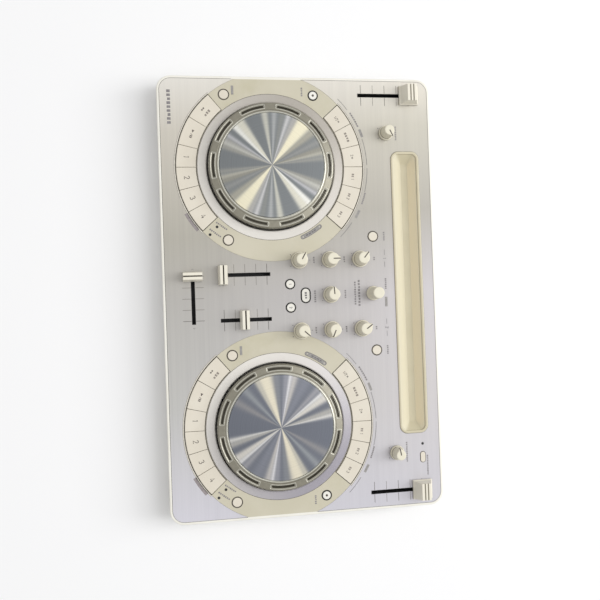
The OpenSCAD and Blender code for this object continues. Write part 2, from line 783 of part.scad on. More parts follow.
module oval_key(at, size, collar) {
    top = face_z + key_proud;
    cap = collar ? size - 2 * (collar_w + collar_gap) * [1, 1] : size;
    color(CREAM) {
        translate(at) oval(cap, flange_top - eps, top);
        translate(at) oval(size + 2 * flange_w * [1, 1], flange_top - flange_t, flange_top);
        key_stem(at, key_travel);
    }
    if (collar) color(RUBBER) translate(at) difference() {
        oval(size, flange_top + fit_gap, top - collar_low);
        oval(size - 2 * collar_w * [1, 1], flange_top, top);
    }
}

// ---- Knobs ----

skirt_h = 2.4;
skirt_taper = 0.25;
ledge_h = 0.5;
neck_part = 0.85;
crown_part = 0.68;
plain_crown_part = 0.78;
// Skirt, tapering body with a pointer nose, and the control's shaft inside
module knob(k) {
    r = k[3];
    base = face_z + knob_gap;
    top = face_z + k[4];
    ledge = base + skirt_h;
    neck = ledge + ledge_h;
    rim_r = r - skirt_taper;
    neck_r = r * neck_part;
    crown_r = r * (k[5] ? crown_part : plain_crown_part);
    translate([k[1][0], k[1][1], 0]) rotate([0, 0, -k[2]]) {
        color(CREAM) difference() {
            union() {
                translate([0, 0, base]) cylinder(h = skirt_h, r1 = r, r2 = rim_r);
                translate([0, 0, ledge - eps]) cylinder(h = ledge_h + eps, r1 = rim_r, r2 = neck_r);
                translate([0, 0, neck - eps]) cylinder(h = top - neck + eps, r1 = neck_r, r2 = crown_r);
                if (k[5]) knob_nose(r, ledge, top);
            }
            post([0, 0], shaft_r + fit_gap, base - eps, top - shaft_end);
        }
        color(STEEL) post([0, 0], shaft_r, panel_board_top + 1.5 * pot_floor, top - shaft_end - fit_gap);
    }
}

nose_root = 0.36;
nose_bend = 0.4;
nose_tip = 0.86;
nose_tip_half = 0.15;
// A ridge that runs up the body and ends level with the crown, narrowing to a blunt tip
module knob_nose(r, low, top) {
    translate([0, 0, low]) linear_extrude(top - low) polygon(r * [
        [-nose_root, 0], [nose_root, 0], [nose_root, nose_bend],
        [nose_tip_half, nose_tip], [-nose_tip_half, nose_tip], [-nose_root, nose_bend]
    ]);
}

// ---- Sliders ----

// A block that tapers both ways, made from two crossed trapeziums
module tapered_cap(base_size, top_size, low, high) {
    intersection() {
        leaning_prism(base_size[0], top_size[0], base_size[1], low, high);
        rotate([0, 0, 90]) leaning_prism(base_size[1], top_size[1], base_size[0], low, high);
    }
}

module leaning_prism(base_w, top_w, length, low, high) {
    translate([0, length / 2, low]) rotate([90, 0, 0]) linear_extrude(length)
        polygon([[-base_w / 2, 0], [base_w / 2, 0], [top_w / 2, high - low], [-top_w / 2, high - low]]);
}

fader_cap_h = 11;
fader_base = [17.7, 9];
fader_top = [17.1, 6.2];
tempo_cap_h = 14;
tempo_foot_h = 2.4;
tempo_foot = [18, 18.4];
tempo_foot_top = [17.6, 18];
tempo_base = [16.6, 16.6];
tempo_top = [15.4, 8.8];
groove_w = 1.1;
groove_depth = 0.8;
groove_offset = 1.45;
module slider(k) translate(k[1]) rotate([0, 0, k[3]]) translate([0, k[2], 0]) {
    low = face_z + cap_gap;
    color(CREAM) difference() {
        if (k[5] == FADER) fader_cap(low); else tempo_cap(low);
        lever_pocket(low);
    }
    color(STEEL) translate([-lever_t / 2, -lever_l / 2, lever_low])
        cube([lever_t, lever_l, low + lever_in_cap - lever_low]);
}

module lever_pocket(low) {
    translate([-lever_t / 2 - fit_gap, -lever_l / 2 - fit_gap, low - eps])
        cube([lever_t + 2 * fit_gap, lever_l + 2 * fit_gap, lever_in_cap + 2 * fit_gap]);
}

// A grip with a groove across its top
module fader_cap(low) {
    top = face_z + fader_cap_h;
    difference() {
        tapered_cap(fader_base, fader_top, low, top);
        groove(0, top);
    }
}

module groove(y, top) translate([0, y, top])
    cube([2 * fader_base[0], groove_w, 2 * groove_depth], center = true);

// A wide foot with a crest that has three ridges across it
module tempo_cap(low) {
    top = face_z + tempo_cap_h;
    foot_top = low + tempo_foot_h;
    tapered_cap(tempo_foot, tempo_foot_top, low, foot_top);
    difference() {
        tapered_cap(tempo_base, tempo_top, foot_top - eps, top);
        for (s = [-1, 1]) groove(s * groove_offset, top);
    }
}

// ---- One shape per node ----

bottom_case();
top_case();
face_plate();
light_rings();
tablet_tray();
circuit_boards();
screw_feet();
oval_key(select_at, select_size, true);  // select_key
oval_key(standby_at, standby_size, false);  // standby_key
for (s = SIDES) {
    jog_wheel(s[1]);
    for (k = ARC_KEYS) arc_key(s[1], k);
    for (k = round_keys(s[1])) round_key(k);
}
for (k = MONITOR_KEYS) round_key(k);
for (k = KNOBS) knob(k);
for (k = SLIDERS) slider(k);
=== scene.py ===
import json
import math

import bmesh
import bpy
import numpy as np
from mathutils import Matrix, Vector

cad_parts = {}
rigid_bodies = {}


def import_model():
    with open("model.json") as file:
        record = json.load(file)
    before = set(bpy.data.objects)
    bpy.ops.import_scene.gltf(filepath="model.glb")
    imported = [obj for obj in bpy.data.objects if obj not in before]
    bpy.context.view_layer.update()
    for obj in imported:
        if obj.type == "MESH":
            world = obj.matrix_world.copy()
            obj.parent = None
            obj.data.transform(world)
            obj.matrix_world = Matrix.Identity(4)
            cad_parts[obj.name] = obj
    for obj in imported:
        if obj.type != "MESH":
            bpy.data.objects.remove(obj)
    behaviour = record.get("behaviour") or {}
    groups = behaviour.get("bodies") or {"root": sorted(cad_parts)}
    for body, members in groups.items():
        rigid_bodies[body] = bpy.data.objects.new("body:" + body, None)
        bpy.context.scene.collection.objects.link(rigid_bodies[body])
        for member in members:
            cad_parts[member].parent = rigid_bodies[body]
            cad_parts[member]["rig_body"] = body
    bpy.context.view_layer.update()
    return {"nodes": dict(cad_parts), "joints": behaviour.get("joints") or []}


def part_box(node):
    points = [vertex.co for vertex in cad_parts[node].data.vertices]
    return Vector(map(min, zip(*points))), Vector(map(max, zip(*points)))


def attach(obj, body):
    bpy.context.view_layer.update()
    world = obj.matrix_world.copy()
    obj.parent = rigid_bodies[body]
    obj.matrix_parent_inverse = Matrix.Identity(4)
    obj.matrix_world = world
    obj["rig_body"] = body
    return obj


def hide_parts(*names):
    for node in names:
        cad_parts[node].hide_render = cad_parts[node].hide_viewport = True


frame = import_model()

MM = 0.001
ROOT = "root"

# ---- Places, read from the frame, in millimetres ----


def box_mm(node):
    """Lowest and highest corner of a CAD node as numpy arrays in millimetres."""
    low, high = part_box(node)
    return np.array(low) / MM, np.array(high) / MM


def centre_mm(node):
    """Middle of a CAD node's box in millimetres."""
    low, high = box_mm(node)
    return (low + high) / 2


FACE = box_mm("face_plate")[1][2]
CASE_HIGH = box_mm("top_case")[1]
SHEET_HALF = box_mm("face_plate")[1][:2]
RIM_W = CASE_HIGH[0] - SHEET_HALF[0]
SIDES = {"left": -1, "right": 1}
DECKS = {side: centre_mm(side + "_jog_wheel")[:2] for side in SIDES}
JOG_LOW, JOG_HIGH = box_mm("left_jog_wheel")
JOG_R = (JOG_HIGH[0] - JOG_LOW[0]) / 2
JOG_TOP = JOG_HIGH[2]
RING_LOW, RING_HIGH = box_mm("light_rings")
RING_R = (RING_HIGH[1] - RING_LOW[1]) / 2

# Corners of the case and the tray, and the height where the case's halves meet
CORNER_R = 13.0
TRAY_CORNER_R = 7.5
CASE_SPLIT_Z = 16.0
# Reach of a deck's moulded ring, and the circle that the print of its arc keys lies on
DECK_R = 86.9
KEY_MIDDLE_R = 77.0
# Height of ink above the surface it lies on, and its thickness
LIFT = 0.02
PRINT_T = 0.04

# The keys on a deck's front arc and rear arc
PAD_KEYS = ["pad_1_key", "pad_2_key", "pad_3_key", "pad_4_key"]
FRONT_KEYS = ["cue_key", "play_key"] + PAD_KEYS
REAR_KEYS = ["loop_half_key", "loop_key", "loop_double_key", "fx_1_key", "fx_2_key", "fx_3_key"]


def polar(centre, radius, degrees):
    """The point at a distance and direction from a centre, or a row of them for many angles."""
    t = np.radians(degrees)
    return np.asarray(centre) + radius * np.stack([np.cos(t), np.sin(t)], axis=-1)


def turned(points, degrees):
    """Flat points turned about the origin."""
    t = math.radians(degrees)
    return np.asarray(points, float) @ [[math.cos(t), math.sin(t)], [-math.sin(t), math.cos(t)]]


# ---- Material helpers; colours are what the photo shows, as sRGB bytes ----


def linear(*rgb):
    """An sRGB colour in bytes as a linear RGBA tuple."""
    def channel(c):
        c = c / 255
        return c / 12.92 if c <= 0.04045 else ((c + 0.055) / 1.055) ** 2.4
    return (*(channel(c) for c in rgb), 1.0)


def feed(node, name, source):
    """Gives a node's input a value, or the socket that the value comes from."""
    if isinstance(source, bpy.types.NodeSocket):
        node.id_data.links.new(source, node.inputs[name])
    else:
        node.inputs[name].default_value = source


def add(tree, kind, inputs=None, **settings):
    """A new shader node with its settings and inputs."""
    node = tree.nodes.new(kind)
    for key, value in settings.items():
        setattr(node, key, value)
    for key, source in (inputs or {}).items():
        feed(node, key, source)
    return node


def surface(name, roughness, metallic=0.0, coat=0.0, anisotropic=0.0):
    """An empty Principled material: returns the material, its tree and the shader."""
    mat = bpy.data.materials.new(name)
    mat.use_nodes = True
    shader = mat.node_tree.nodes["Principled BSDF"]
    feed(shader, "Roughness", roughness)
    feed(shader, "Metallic", metallic)
    feed(shader, "Coat Weight", coat)
    feed(shader, "Coat Roughness", 0.15)
    feed(shader, "Anisotropic", anisotropic)
    return mat, mat.node_tree, shader


def place(tree, scale=(1, 1, 1)):
    """Object coordinates, stretched by scale."""
    coords = add(tree, "ShaderNodeTexCoord").outputs["Object"]
    return add(tree, "ShaderNodeMapping", {"Vector": coords, "Scale": scale}).outputs["Vector"]


def noise(tree, vector, scale, detail=3.0, roughness=0.55):
    """Noise over a vector, as a value around one half."""
    inputs = {"Vector": vector, "Scale": scale, "Detail": detail, "Roughness": roughness}
    return add(tree, "ShaderNodeTexNoise", inputs).outputs["Fac"]


def remap(tree, value, from_min, from_max, to_min=0.0, to_max=1.0):
    """A value moved from one range to another and clamped."""
    ranges = {"From Min": from_min, "From Max": from_max, "To Min": to_min, "To Max": to_max}
    return add(tree, "ShaderNodeMapRange", {"Value": value, **ranges}).outputs["Result"]


def maths(tree, operation, *values):
    """One maths node; values are sockets or numbers."""
    return add(tree, "ShaderNodeMath", dict(enumerate(values)), operation=operation).outputs[0]


def length(tree, *parts):
    """The length of a flat vector from its two parts."""
    squares = [maths(tree, "MULTIPLY", part, part) for part in parts]
    return maths(tree, "SQRT", maths(tree, "ADD", *squares))


def split(tree, vector):
    """The three parts of a vector."""
    return add(tree, "ShaderNodeSeparateXYZ", {"Vector": vector}).outputs


def mix(tree, factor, a, b, blend="MIX"):
    """Two colours mixed by a value or a constant."""
    inputs = {0: factor, 6: a, 7: b}
    return add(tree, "ShaderNodeMix", inputs, data_type="RGBA", blend_type=blend).outputs[2]


def gradient(tree, value, stops):
    """Colours along a value; stops are (position, linear colour)."""
    node = add(tree, "ShaderNodeValToRGB", {"Fac": value})
    elements = node.color_ramp.elements
    elements[0].position, elements[0].color = stops[0]
    elements[1].position, elements[1].color = stops[-1]
    for position, colour in stops[1:-1]:
        elements.new(position).color = colour
    return node.outputs["Color"]


def ramp(tree, value, *stops):
    """Colours along a value; each stop is a position and the three bytes of a colour."""
    return gradient(tree, value, [(position, linear(*rgb)) for position, *rgb in stops])


def mottle(tree, at, scale, dark, light):
    """Slow mottling between two colours."""
    return ramp(tree, noise(tree, at, scale, 4.0), (0.3, *dark), (0.7, *light))


def shaded(tree, colour, value, low, high=(1, 1, 1), spread=0.2):
    """A colour multiplied by one that runs from low to high as a noise value rises."""
    factor = gradient(tree, value, [(0.5 - spread, (*low, 1)), (0.5 + spread, (*high, 1))])
    return mix(tree, 1.0, colour, factor, "MULTIPLY")


def gloss(shader, value, low, high):
    """Roughness that follows a noise value."""
    feed(shader, "Roughness", remap(shader.id_data, value, 0.3, 0.7, low, high))


def bump(shader, height, strength, distance):
    """A bump of that height on the shader's normal."""
    inputs = {"Height": height, "Strength": strength, "Distance": distance}
    feed(shader, "Normal", add(shader.id_data, "ShaderNodeBump", inputs).outputs["Normal"])


def plastic(name, light, dark, roughness, grain=1800.0, grain_depth=0.00002, coat=0.0):
    """Moulded plastic: slow mottling between two colours, uneven gloss and a fine grain."""
    mat, tree, shader = surface(name, roughness, coat=coat)
    at = place(tree)
    feed(shader, "Base Color", mottle(tree, at, 45.0, dark, light))
    gloss(shader, noise(tree, at, 160.0), roughness - 0.05, roughness + 0.07)
    bump(shader, noise(tree, at, grain, 2.0), 0.25, grain_depth)
    return mat


def metal(name, light, dark, roughness):
    """Machined metal with fine tool marks along Z."""
    mat, tree, shader = surface(name, roughness, metallic=1.0)
    marks = noise(tree, place(tree, (1, 1, 12)), 700.0)
    feed(shader, "Base Color", ramp(tree, marks, (0.35, *dark), (0.65, *light)))
    gloss(shader, marks, roughness - 0.06, roughness + 0.08)
    bump(shader, marks, 0.2, 0.00002)
    return mat


# ---- Materials ----


def brushed_sheet():
    """The face sheet: fine lines along X, with painted reflection and shade that run warm at the left and
    faintly lilac at the right.
    """
    mat, tree, shader = surface("brushed_sheet", 0.46, metallic=0.35, anisotropic=0.5)
    x, y, _ = split(tree, place(tree))
    half_w, half_d = SHEET_HALF * MM
    along = remap(tree, x, -half_w, half_w)
    # Painted reflection and shade across the sheet, one ramp along X at the front and one at the rear
    front = ramp(tree, along, (0.0, 244, 240, 231), (0.12, 220, 214, 201), (0.36, 192, 188, 176),
                 (0.5, 195, 192, 186), (0.75, 205, 204, 200), (1.0, 226, 224, 232))
    rear = ramp(tree, along, (0.0, 222, 217, 206), (0.1, 199, 195, 182), (0.3, 175, 171, 162),
                (0.5, 196, 192, 194), (0.75, 199, 195, 195), (1.0, 202, 200, 206))
    painted_light_tint = mix(tree, remap(tree, y, -half_d, half_d), front, rear)
    lines = noise(tree, place(tree, (5, 2600, 1)), 1.0, 4.0, 0.7)
    bands = noise(tree, place(tree, (2.5, 190, 1)), 1.0)
    streaked = shaded(tree, painted_light_tint, lines, (0.86, 0.86, 0.87), spread=0.25)
    feed(shader, "Base Color", shaded(tree, streaked, bands, (0.95, 0.95, 0.955)))
    gloss(shader, lines, 0.36, 0.5)
    feed(shader, "Tangent", add(tree, "ShaderNodeCombineXYZ", {"X": 1.0}).outputs["Vector"])
    bump(shader, lines, 0.15, 0.00003)
    return mat


def edge_distance(tree, at):
    """How far inside the case's outline a point is, as a negative length."""
    parts = []
    for value, half in zip(split(tree, at), CASE_HIGH[:2]):
        parts.append(maths(tree, "SUBTRACT", maths(tree, "ABSOLUTE", value), (half - CORNER_R) * MM))
    corner = length(tree, *(maths(tree, "MAXIMUM", part, 0.0) for part in parts))
    inside = maths(tree, "MINIMUM", maths(tree, "MAXIMUM", *parts), 0.0)
    return maths(tree, "SUBTRACT", maths(tree, "ADD", corner, inside), CORNER_R * MM)


def case_cream():
    """The upper case: aged cream decks, dark in the openings where no light reaches, and a whiter rim."""
    mat, tree, shader = surface("case_cream", 0.4, coat=0.15)
    at = place(tree)
    body = mottle(tree, at, 30.0, (199, 193, 171), (206, 200, 180))
    stains = remap(tree, noise(tree, at, 11.0, 5.0, 0.65), 0.56, 0.75)
    stained = mix(tree, stains, body, linear(192, 186, 158))
    depth = remap(tree, split(tree, at)[2], (FACE - 1.6) * MM, (FACE - 0.15) * MM)
    decks = mix(tree, depth, linear(48, 44, 38), stained)
    on_rim = remap(tree, edge_distance(tree, at), -(RIM_W + 0.02) * MM, -(RIM_W - 0.02) * MM)
    rim = mottle(tree, at, 30.0, (236, 233, 222), (243, 241, 232))
    feed(shader, "Base Color", mix(tree, on_rim, decks, rim))
    gloss(shader, noise(tree, at, 200.0), 0.34, 0.46)
    bump(shader, noise(tree, at, 2400.0, 2.0), 0.2, 0.00002)
    return mat


def ring_plastic():
    """The light rings: milky plastic, with a painted highlight that makes the side facing the mixer and the
    front brighter, and painted shade on the far side.
    """
    mat, tree, shader = surface("ring_plastic", 0.42, metallic=0.1, coat=0.1)
    at = place(tree)
    x, y, _ = split(tree, at)
    deck_x, deck_y = (float(v) * MM for v in DECKS["right"])
    outward = maths(tree, "SUBTRACT", maths(tree, "ABSOLUTE", x), deck_x)
    away = maths(tree, "ADD", outward, maths(tree, "SUBTRACT", y, deck_y))
    reach = 86 * MM
    # Painted shade on the side away from the mixer and the front, and a painted highlight towards them
    painted_shade_side = ramp(tree, remap(tree, x, -0.1, 0.1), (0.0, 180, 174, 165), (1.0, 165, 161, 170))
    lit = mix(tree, remap(tree, away, reach, -reach), painted_shade_side, linear(234, 230, 223))
    feed(shader, "Base Color", shaded(tree, lit, noise(tree, at, 25.0), (0.96, 0.96, 0.96)))
    bump(shader, noise(tree, at, 1500.0, 2.0), 0.1, 0.00001)
    feed(shader, "Subsurface Weight", 0.15)
    feed(shader, "Subsurface Radius", (0.002, 0.002, 0.002))
    return mat


def tray_cream():
    """The tray: yellowed cream, with painted light that makes both slopes of the trough a little paler."""
    mat, tree, shader = surface("tray_cream", 0.5)
    at = place(tree)
    body = mottle(tree, at, 45.0, (201, 193, 165), (209, 201, 174))
    # Painted light on the rear wall, which faces the front, and on the front slope, which faces the rear
    facing = split(tree, add(tree, "ShaderNodeNewGeometry").outputs["Normal"])[1]
    rear_wall_painted_light = mix(tree, remap(tree, facing, -0.25, -0.85), body, linear(238, 226, 198))
    slopes = mix(tree, remap(tree, facing, 0.1, 0.35), rear_wall_painted_light, linear(219, 212, 187))
    feed(shader, "Base Color", slopes)
    gloss(shader, noise(tree, at, 160.0), 0.45, 0.57)
    bump(shader, noise(tree, at, 1400.0, 2.0), 0.25, 0.00003)
    return mat


# Each fan of light on a spun disc: direction, half-width in degrees, how flat its top is, and its colour
FANS = {
    "left": [(7, 3.4, 3, 205, 204, 193), (37, 6, 4, 228, 225, 210), (43.5, 3, 3, 246, 245, 238),
             (56, 2.3, 2, 200, 200, 203), (61, 2.5, 2, 172, 171, 167), (65, 3, 2, 206, 205, 197),
             (69, 2.5, 2, 168, 167, 160), (97, 2.2, 2, 162, 162, 157), (104, 2.8, 2, 196, 193, 180),
             (108, 3, 2, 160, 158, 148), (116, 3, 2, 157, 158, 156), (128, 4, 2, 178, 175, 162),
             (141.5, 9, 6, 249, 242, 214), (153, 3, 2, 186, 184, 180), (160, 2.6, 2, 212, 211, 211),
             (167, 3, 2, 150, 152, 149), (176, 2.6, 2, 181, 183, 183)],
    "right": [(3, 3, 2, 146, 149, 155), (17, 8.5, 4, 243, 235, 213), (26, 2.6, 2, 208, 204, 191),
              (42, 3.4, 2, 159, 163, 167), (57.5, 4, 2, 155, 154, 156), (101, 2.4, 2, 234, 232, 227),
              (105.5, 3, 2, 188, 186, 181), (121.5, 4.4, 3, 227, 223, 215), (127, 1.8, 2, 243, 242, 240),
              (133.5, 3.4, 2, 170, 170, 175), (150, 7, 2, 144, 147, 157), (163, 3.6, 2, 207, 203, 199),
              (168.3, 2, 2, 248, 246, 247), (173, 3, 2, 162, 163, 171)],
}
FAN_BASE = {"left": (134, 138, 140), "right": (123, 127, 137)}
FAN_PARTS = 4
FAN_STOPS = 30


def fan_colour(side, degrees):
    """The disc's colour in one direction: the base with every fan laid over it."""
    colour = np.array(FAN_BASE[side], float)
    for middle, half, flatness, *rgb in FANS[side]:
        off = (degrees - middle + 90) % 180 - 90
        colour += (rgb - colour) * 0.5 ** (abs(off / half) ** flatness)
    return colour


def fan_ramps(tree, around, side):
    """The fans over half a turn, as a few ramps side by side; the other half repeats them."""
    colour = None
    for index in range(FAN_PARTS):
        start, stop = index / FAN_PARTS, (index + 1) / FAN_PARTS
        stops = []
        for share in np.linspace(0, 1, FAN_STOPS + 1):
            stops.append((share, *fan_colour(side, 180 * (start + share / FAN_PARTS))))
        strip = ramp(tree, remap(tree, around, start, stop), *stops)
        colour = mix(tree, maths(tree, "GREATER_THAN", around, start), colour, strip) if index else strip
    return colour


def spun_disc(side):
    """A spun metal disc: light gathers in fans that stay put while the disc turns."""
    mat, tree, shader = surface("spun_disc_" + side, 0.4, metallic=0.8, anisotropic=0.1)
    x, y, _ = split(tree, add(tree, "ShaderNodeNewGeometry").outputs["Position"])
    centre_x, centre_y = (float(v) * MM for v in DECKS[side])
    dx = maths(tree, "SUBTRACT", x, centre_x)
    dy = maths(tree, "SUBTRACT", y, centre_y)
    half_turns = maths(tree, "DIVIDE", maths(tree, "ARCTAN2", dy, dx), math.pi)
    fans = fan_ramps(tree, maths(tree, "FRACT", maths(tree, "ADD", half_turns, 1.0)), side)
    inputs = {"W": length(tree, dx, dy), "Scale": 1500.0, "Detail": 3.0}
    rings = add(tree, "ShaderNodeTexNoise", inputs, noise_dimensions="1D").outputs["Fac"]
    grooved = shaded(tree, fans, rings, (0.72, 0.72, 0.72), (0.84, 0.84, 0.84), spread=0.25)
    feed(shader, "Base Color", grooved)
    tangent = {"X": maths(tree, "MULTIPLY", dy, -1.0), "Y": dx}
    feed(shader, "Tangent", add(tree, "ShaderNodeCombineXYZ", tangent).outputs["Vector"])
    bump(shader, rings, 0.06, 0.00002)
    return mat


def jog_metal():
    """The wheel's rim: grey metal, with painted highlights that brighten its raised edges and painted shade
    that darkens it down in the pockets.
    """
    mat, tree, shader = surface("jog_metal", 0.34, metallic=0.55)
    # The tone attribute carries painted light: high for highlights, low for shade
    tone = add(tree, "ShaderNodeAttribute", attribute_name="tone").outputs["Fac"]
    body = ramp(tree, tone, (0.0, 22, 20, 16), (0.2, 66, 62, 52), (0.5, 146, 142, 128),
                (0.8, 206, 204, 192), (1.0, 236, 235, 224))
    specks = noise(tree, place(tree), 300.0, 4.0)
    feed(shader, "Base Color", shaded(tree, body, specks, (0.9, 0.9, 0.9)))
    gloss(shader, specks, 0.28, 0.42)
    bump(shader, noise(tree, place(tree), 3000.0), 0.1, 0.00001)
    return mat


def board_green():
    """Printed circuit board: green solder resist over copper tracks."""
    mat, tree, shader = surface("board_green", 0.3, coat=0.4)
    inputs = {"Vector": place(tree), "Scale": 160.0, "Mortar Size": 0.012, "Color1": linear(22, 74, 48),
              "Color2": linear(26, 84, 54), "Mortar": linear(60, 120, 70)}
    tracks = add(tree, "ShaderNodeTexBrick", inputs)
    feed(shader, "Base Color", tracks.outputs["Color"])
    bump(shader, tracks.outputs["Fac"], 0.2, 0.00003)
    return mat


def ink(name, rgb):
    """Screen-printed ink, slightly worn; the same flat layer also serves for the painted shade lines in
    gaps.
    """
    mat, tree, shader = surface(name, 0.6)
    worn = [min(c + 26, 255) for c in rgb]
    wear = noise(tree, place(tree), 500.0, 4.0)
    feed(shader, "Base Color", ramp(tree, wear, (0.35, *rgb), (0.75, *worn)))
    return mat


# Name, light tone, dark tone and roughness of each plain plastic
PLASTICS = {
    "base": ("base_white", (232, 229, 220), (222, 218, 208), 0.5),
    "tray_edge": ("tray_edge_shade", (168, 158, 130), (156, 146, 118), 0.5),
    "key": ("key_cream", (226, 219, 204), (219, 211, 195), 0.45),
    "collar": ("collar_black", (32, 30, 28), (22, 21, 20), 0.5),
    "knob": ("knob_cream", (232, 227, 208), (224, 218, 197), 0.42),
    "cap": ("cap_cream", (238, 233, 218), (230, 224, 208), 0.4),
    "groove": ("groove_brown", (70, 62, 48), (58, 51, 40), 0.6),
    "ridge_shade": ("groove_shade", (176, 170, 154), (164, 157, 140), 0.55),
    "black": ("slot_black", (14, 14, 14), (8, 8, 8), 0.7),
    "part": ("part_black", (34, 34, 36), (24, 24, 26), 0.45),
}
# Colour of each ink; gap and soft_line are painted shade lines rather than print
INKS = {
    "pointer": (66, 58, 50), "legend": (100, 97, 99), "label": (122, 118, 119), "tick": (78, 73, 67),
    "fine_tick": (108, 102, 95), "tab": (138, 130, 130), "key_legend": (88, 80, 74),
    "key_label": (134, 126, 117), "label_box": (140, 137, 134), "rim_line": (206, 201, 188),
    "soft_line": (140, 134, 128), "gap": (72, 66, 58),
}


def make_materials():
    """Every material of the object, by name."""
    mats = {key: plastic(*values) for key, values in PLASTICS.items()}
    mats |= {key: ink(key + "_ink", rgb) for key, rgb in INKS.items()}
    mats["sheet"] = brushed_sheet()
    mats["cream"] = case_cream()
    mats["ring"] = ring_plastic()
    mats["tray"] = tray_cream()
    mats["jog"] = jog_metal()
    mats["board"] = board_green()
    mats["lit_key"] = plastic("lit_key_white", (240, 238, 230), (232, 229, 219), 0.3, coat=0.3)
    mats["rubber"] = plastic("foot_rubber", (38, 38, 38), (28, 28, 28), 0.8, 800.0, 0.0001)
    mats["steel"] = metal("screw_steel", (170, 172, 174), (130, 132, 134), 0.3)
    mats["tin"] = metal("socket_tin", (190, 190, 186), (150, 150, 148), 0.35)
    return mats


# ---- Mesh helpers ----


def make_object(name, verts_mm, faces, materials, body, face_materials=None, location=(0, 0, 0)):
    """A mesh from points in millimetres about a location, riding on a body."""
    mesh = bpy.data.meshes.new(name)
    mesh.from_pydata((np.asarray(verts_mm, float) * MM).tolist(), [], faces)
    for mat in materials:
        mesh.materials.append(mat)
    if face_materials is not None:
        mesh.polygons.foreach_set("material_index", np.asarray(face_materials, np.int32))
    mesh.validate()
    return link_object(name, mesh, body, location)


def link_object(name, mesh, body, location=(0, 0, 0)):
    """Puts a mesh in the scene as a piece that rides on a body."""
    obj = bpy.data.objects.new(name, mesh)
    obj.location = Vector(location) * MM
    bpy.context.scene.collection.objects.link(obj)
    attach(obj, body)
    return obj


def smooth(obj, degrees):
    """Smooth shading with sharp edges above an angle."""
    obj.data.shade_smooth()
    obj.data.set_sharp_from_angle(angle=math.radians(degrees))


def grid_faces(rows, columns, wrap_rows=False):
    """Quads over rows of points that each run round in a closed loop."""
    faces = []
    for i in range(rows if wrap_rows else rows - 1):
        below, above = i * columns, (i + 1) % rows * columns
        for j in range(columns):
            k = (j + 1) % columns
            faces.append((below + j, below + k, above + k, above + j))
    return faces


def capped_faces(rows, steps):
    """Faces over loops of points, with a face that closes the last loop."""
    return grid_faces(len(rows), steps) + [tuple(range((len(rows) - 1) * steps, len(rows) * steps))]


def revolve(rows, steps, shape=None):
    """Loops of points about Z from (radius, height) rows; shape may change each loop."""
    angles = np.linspace(0, 2 * math.pi, steps, endpoint=False)
    loops = []
    for index, (radius, height) in enumerate(rows):
        r = np.full(steps, float(radius))
        z = np.full(steps, float(height))
        if shape:
            r, z = shape(index, angles, r, z)
        loops.append(np.column_stack([r * np.cos(angles), r * np.sin(angles), z]))
    return np.vstack(loops)


def softened(node, width, mat, angle=35, segments=3):
    """A copy of a CAD node with rounded edges, which stands for it."""
    bm = bmesh.new()
    bm.from_mesh(frame["nodes"][node].data)
    bmesh.ops.remove_doubles(bm, verts=bm.verts, dist=0.000003)
    bmesh.ops.dissolve_limit(bm, angle_limit=math.radians(1), verts=bm.verts, edges=bm.edges)
    mesh = bpy.data.meshes.new(node + "_soft")
    bm.to_mesh(mesh)
    bm.free()
    if "custom_normal" in mesh.attributes:
        mesh.attributes.remove(mesh.attributes["custom_normal"])
    mesh.materials.clear()
    mesh.materials.append(mat)
    body = frame["nodes"][node]["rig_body"]
    obj = link_object(node + "_moulding", mesh, body)
    bevel = obj.modifiers.new("rounding", "BEVEL")
    bevel.width = width * MM
    bevel.segments = segments
    bevel.limit_method = "ANGLE"
    bevel.angle_limit = math.radians(angle)
    smooth(obj, 40)
    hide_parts(node)
    return obj


def paint(obj, mat, *others):
    """Gives an object, or a CAD node by its name, its material; the others are each a material
    with a test of a face's middle in millimetres."""
    if isinstance(obj, str):
        obj = frame["nodes"][obj]
    obj.data.materials.clear()
    obj.data.materials.append(mat)
    index = np.zeros(len(obj.data.polygons), np.int32)
    for number, (other, test) in enumerate(others, 1):
        obj.data.materials.append(other)
        for face in obj.data.polygons:
            if test(np.array(face.center) / MM):
                index[face.index] = number
    obj.data.polygons.foreach_set("material_index", index)


class Shell:
    """Collects points and faces, in millimetres, for one mesh."""

    def __init__(self):
        self.verts = []
        self.faces = []
        self.kinds = []

    def add(self, verts, faces, kind=0):
        """Adds points and the faces over them; kind is the number of their material."""
        start = len(self.verts)
        self.verts += [tuple(v) for v in verts]
        self.faces += [tuple(start + i for i in face) for face in faces]
        self.kinds += [kind] * len(faces)

    def make(self, name, materials, body, slot, location=(0, 0, 0)):
        """The finished piece."""
        return make_object(name, self.verts, self.faces, materials, body, self.kinds, location)


# ---- Printed marks ----


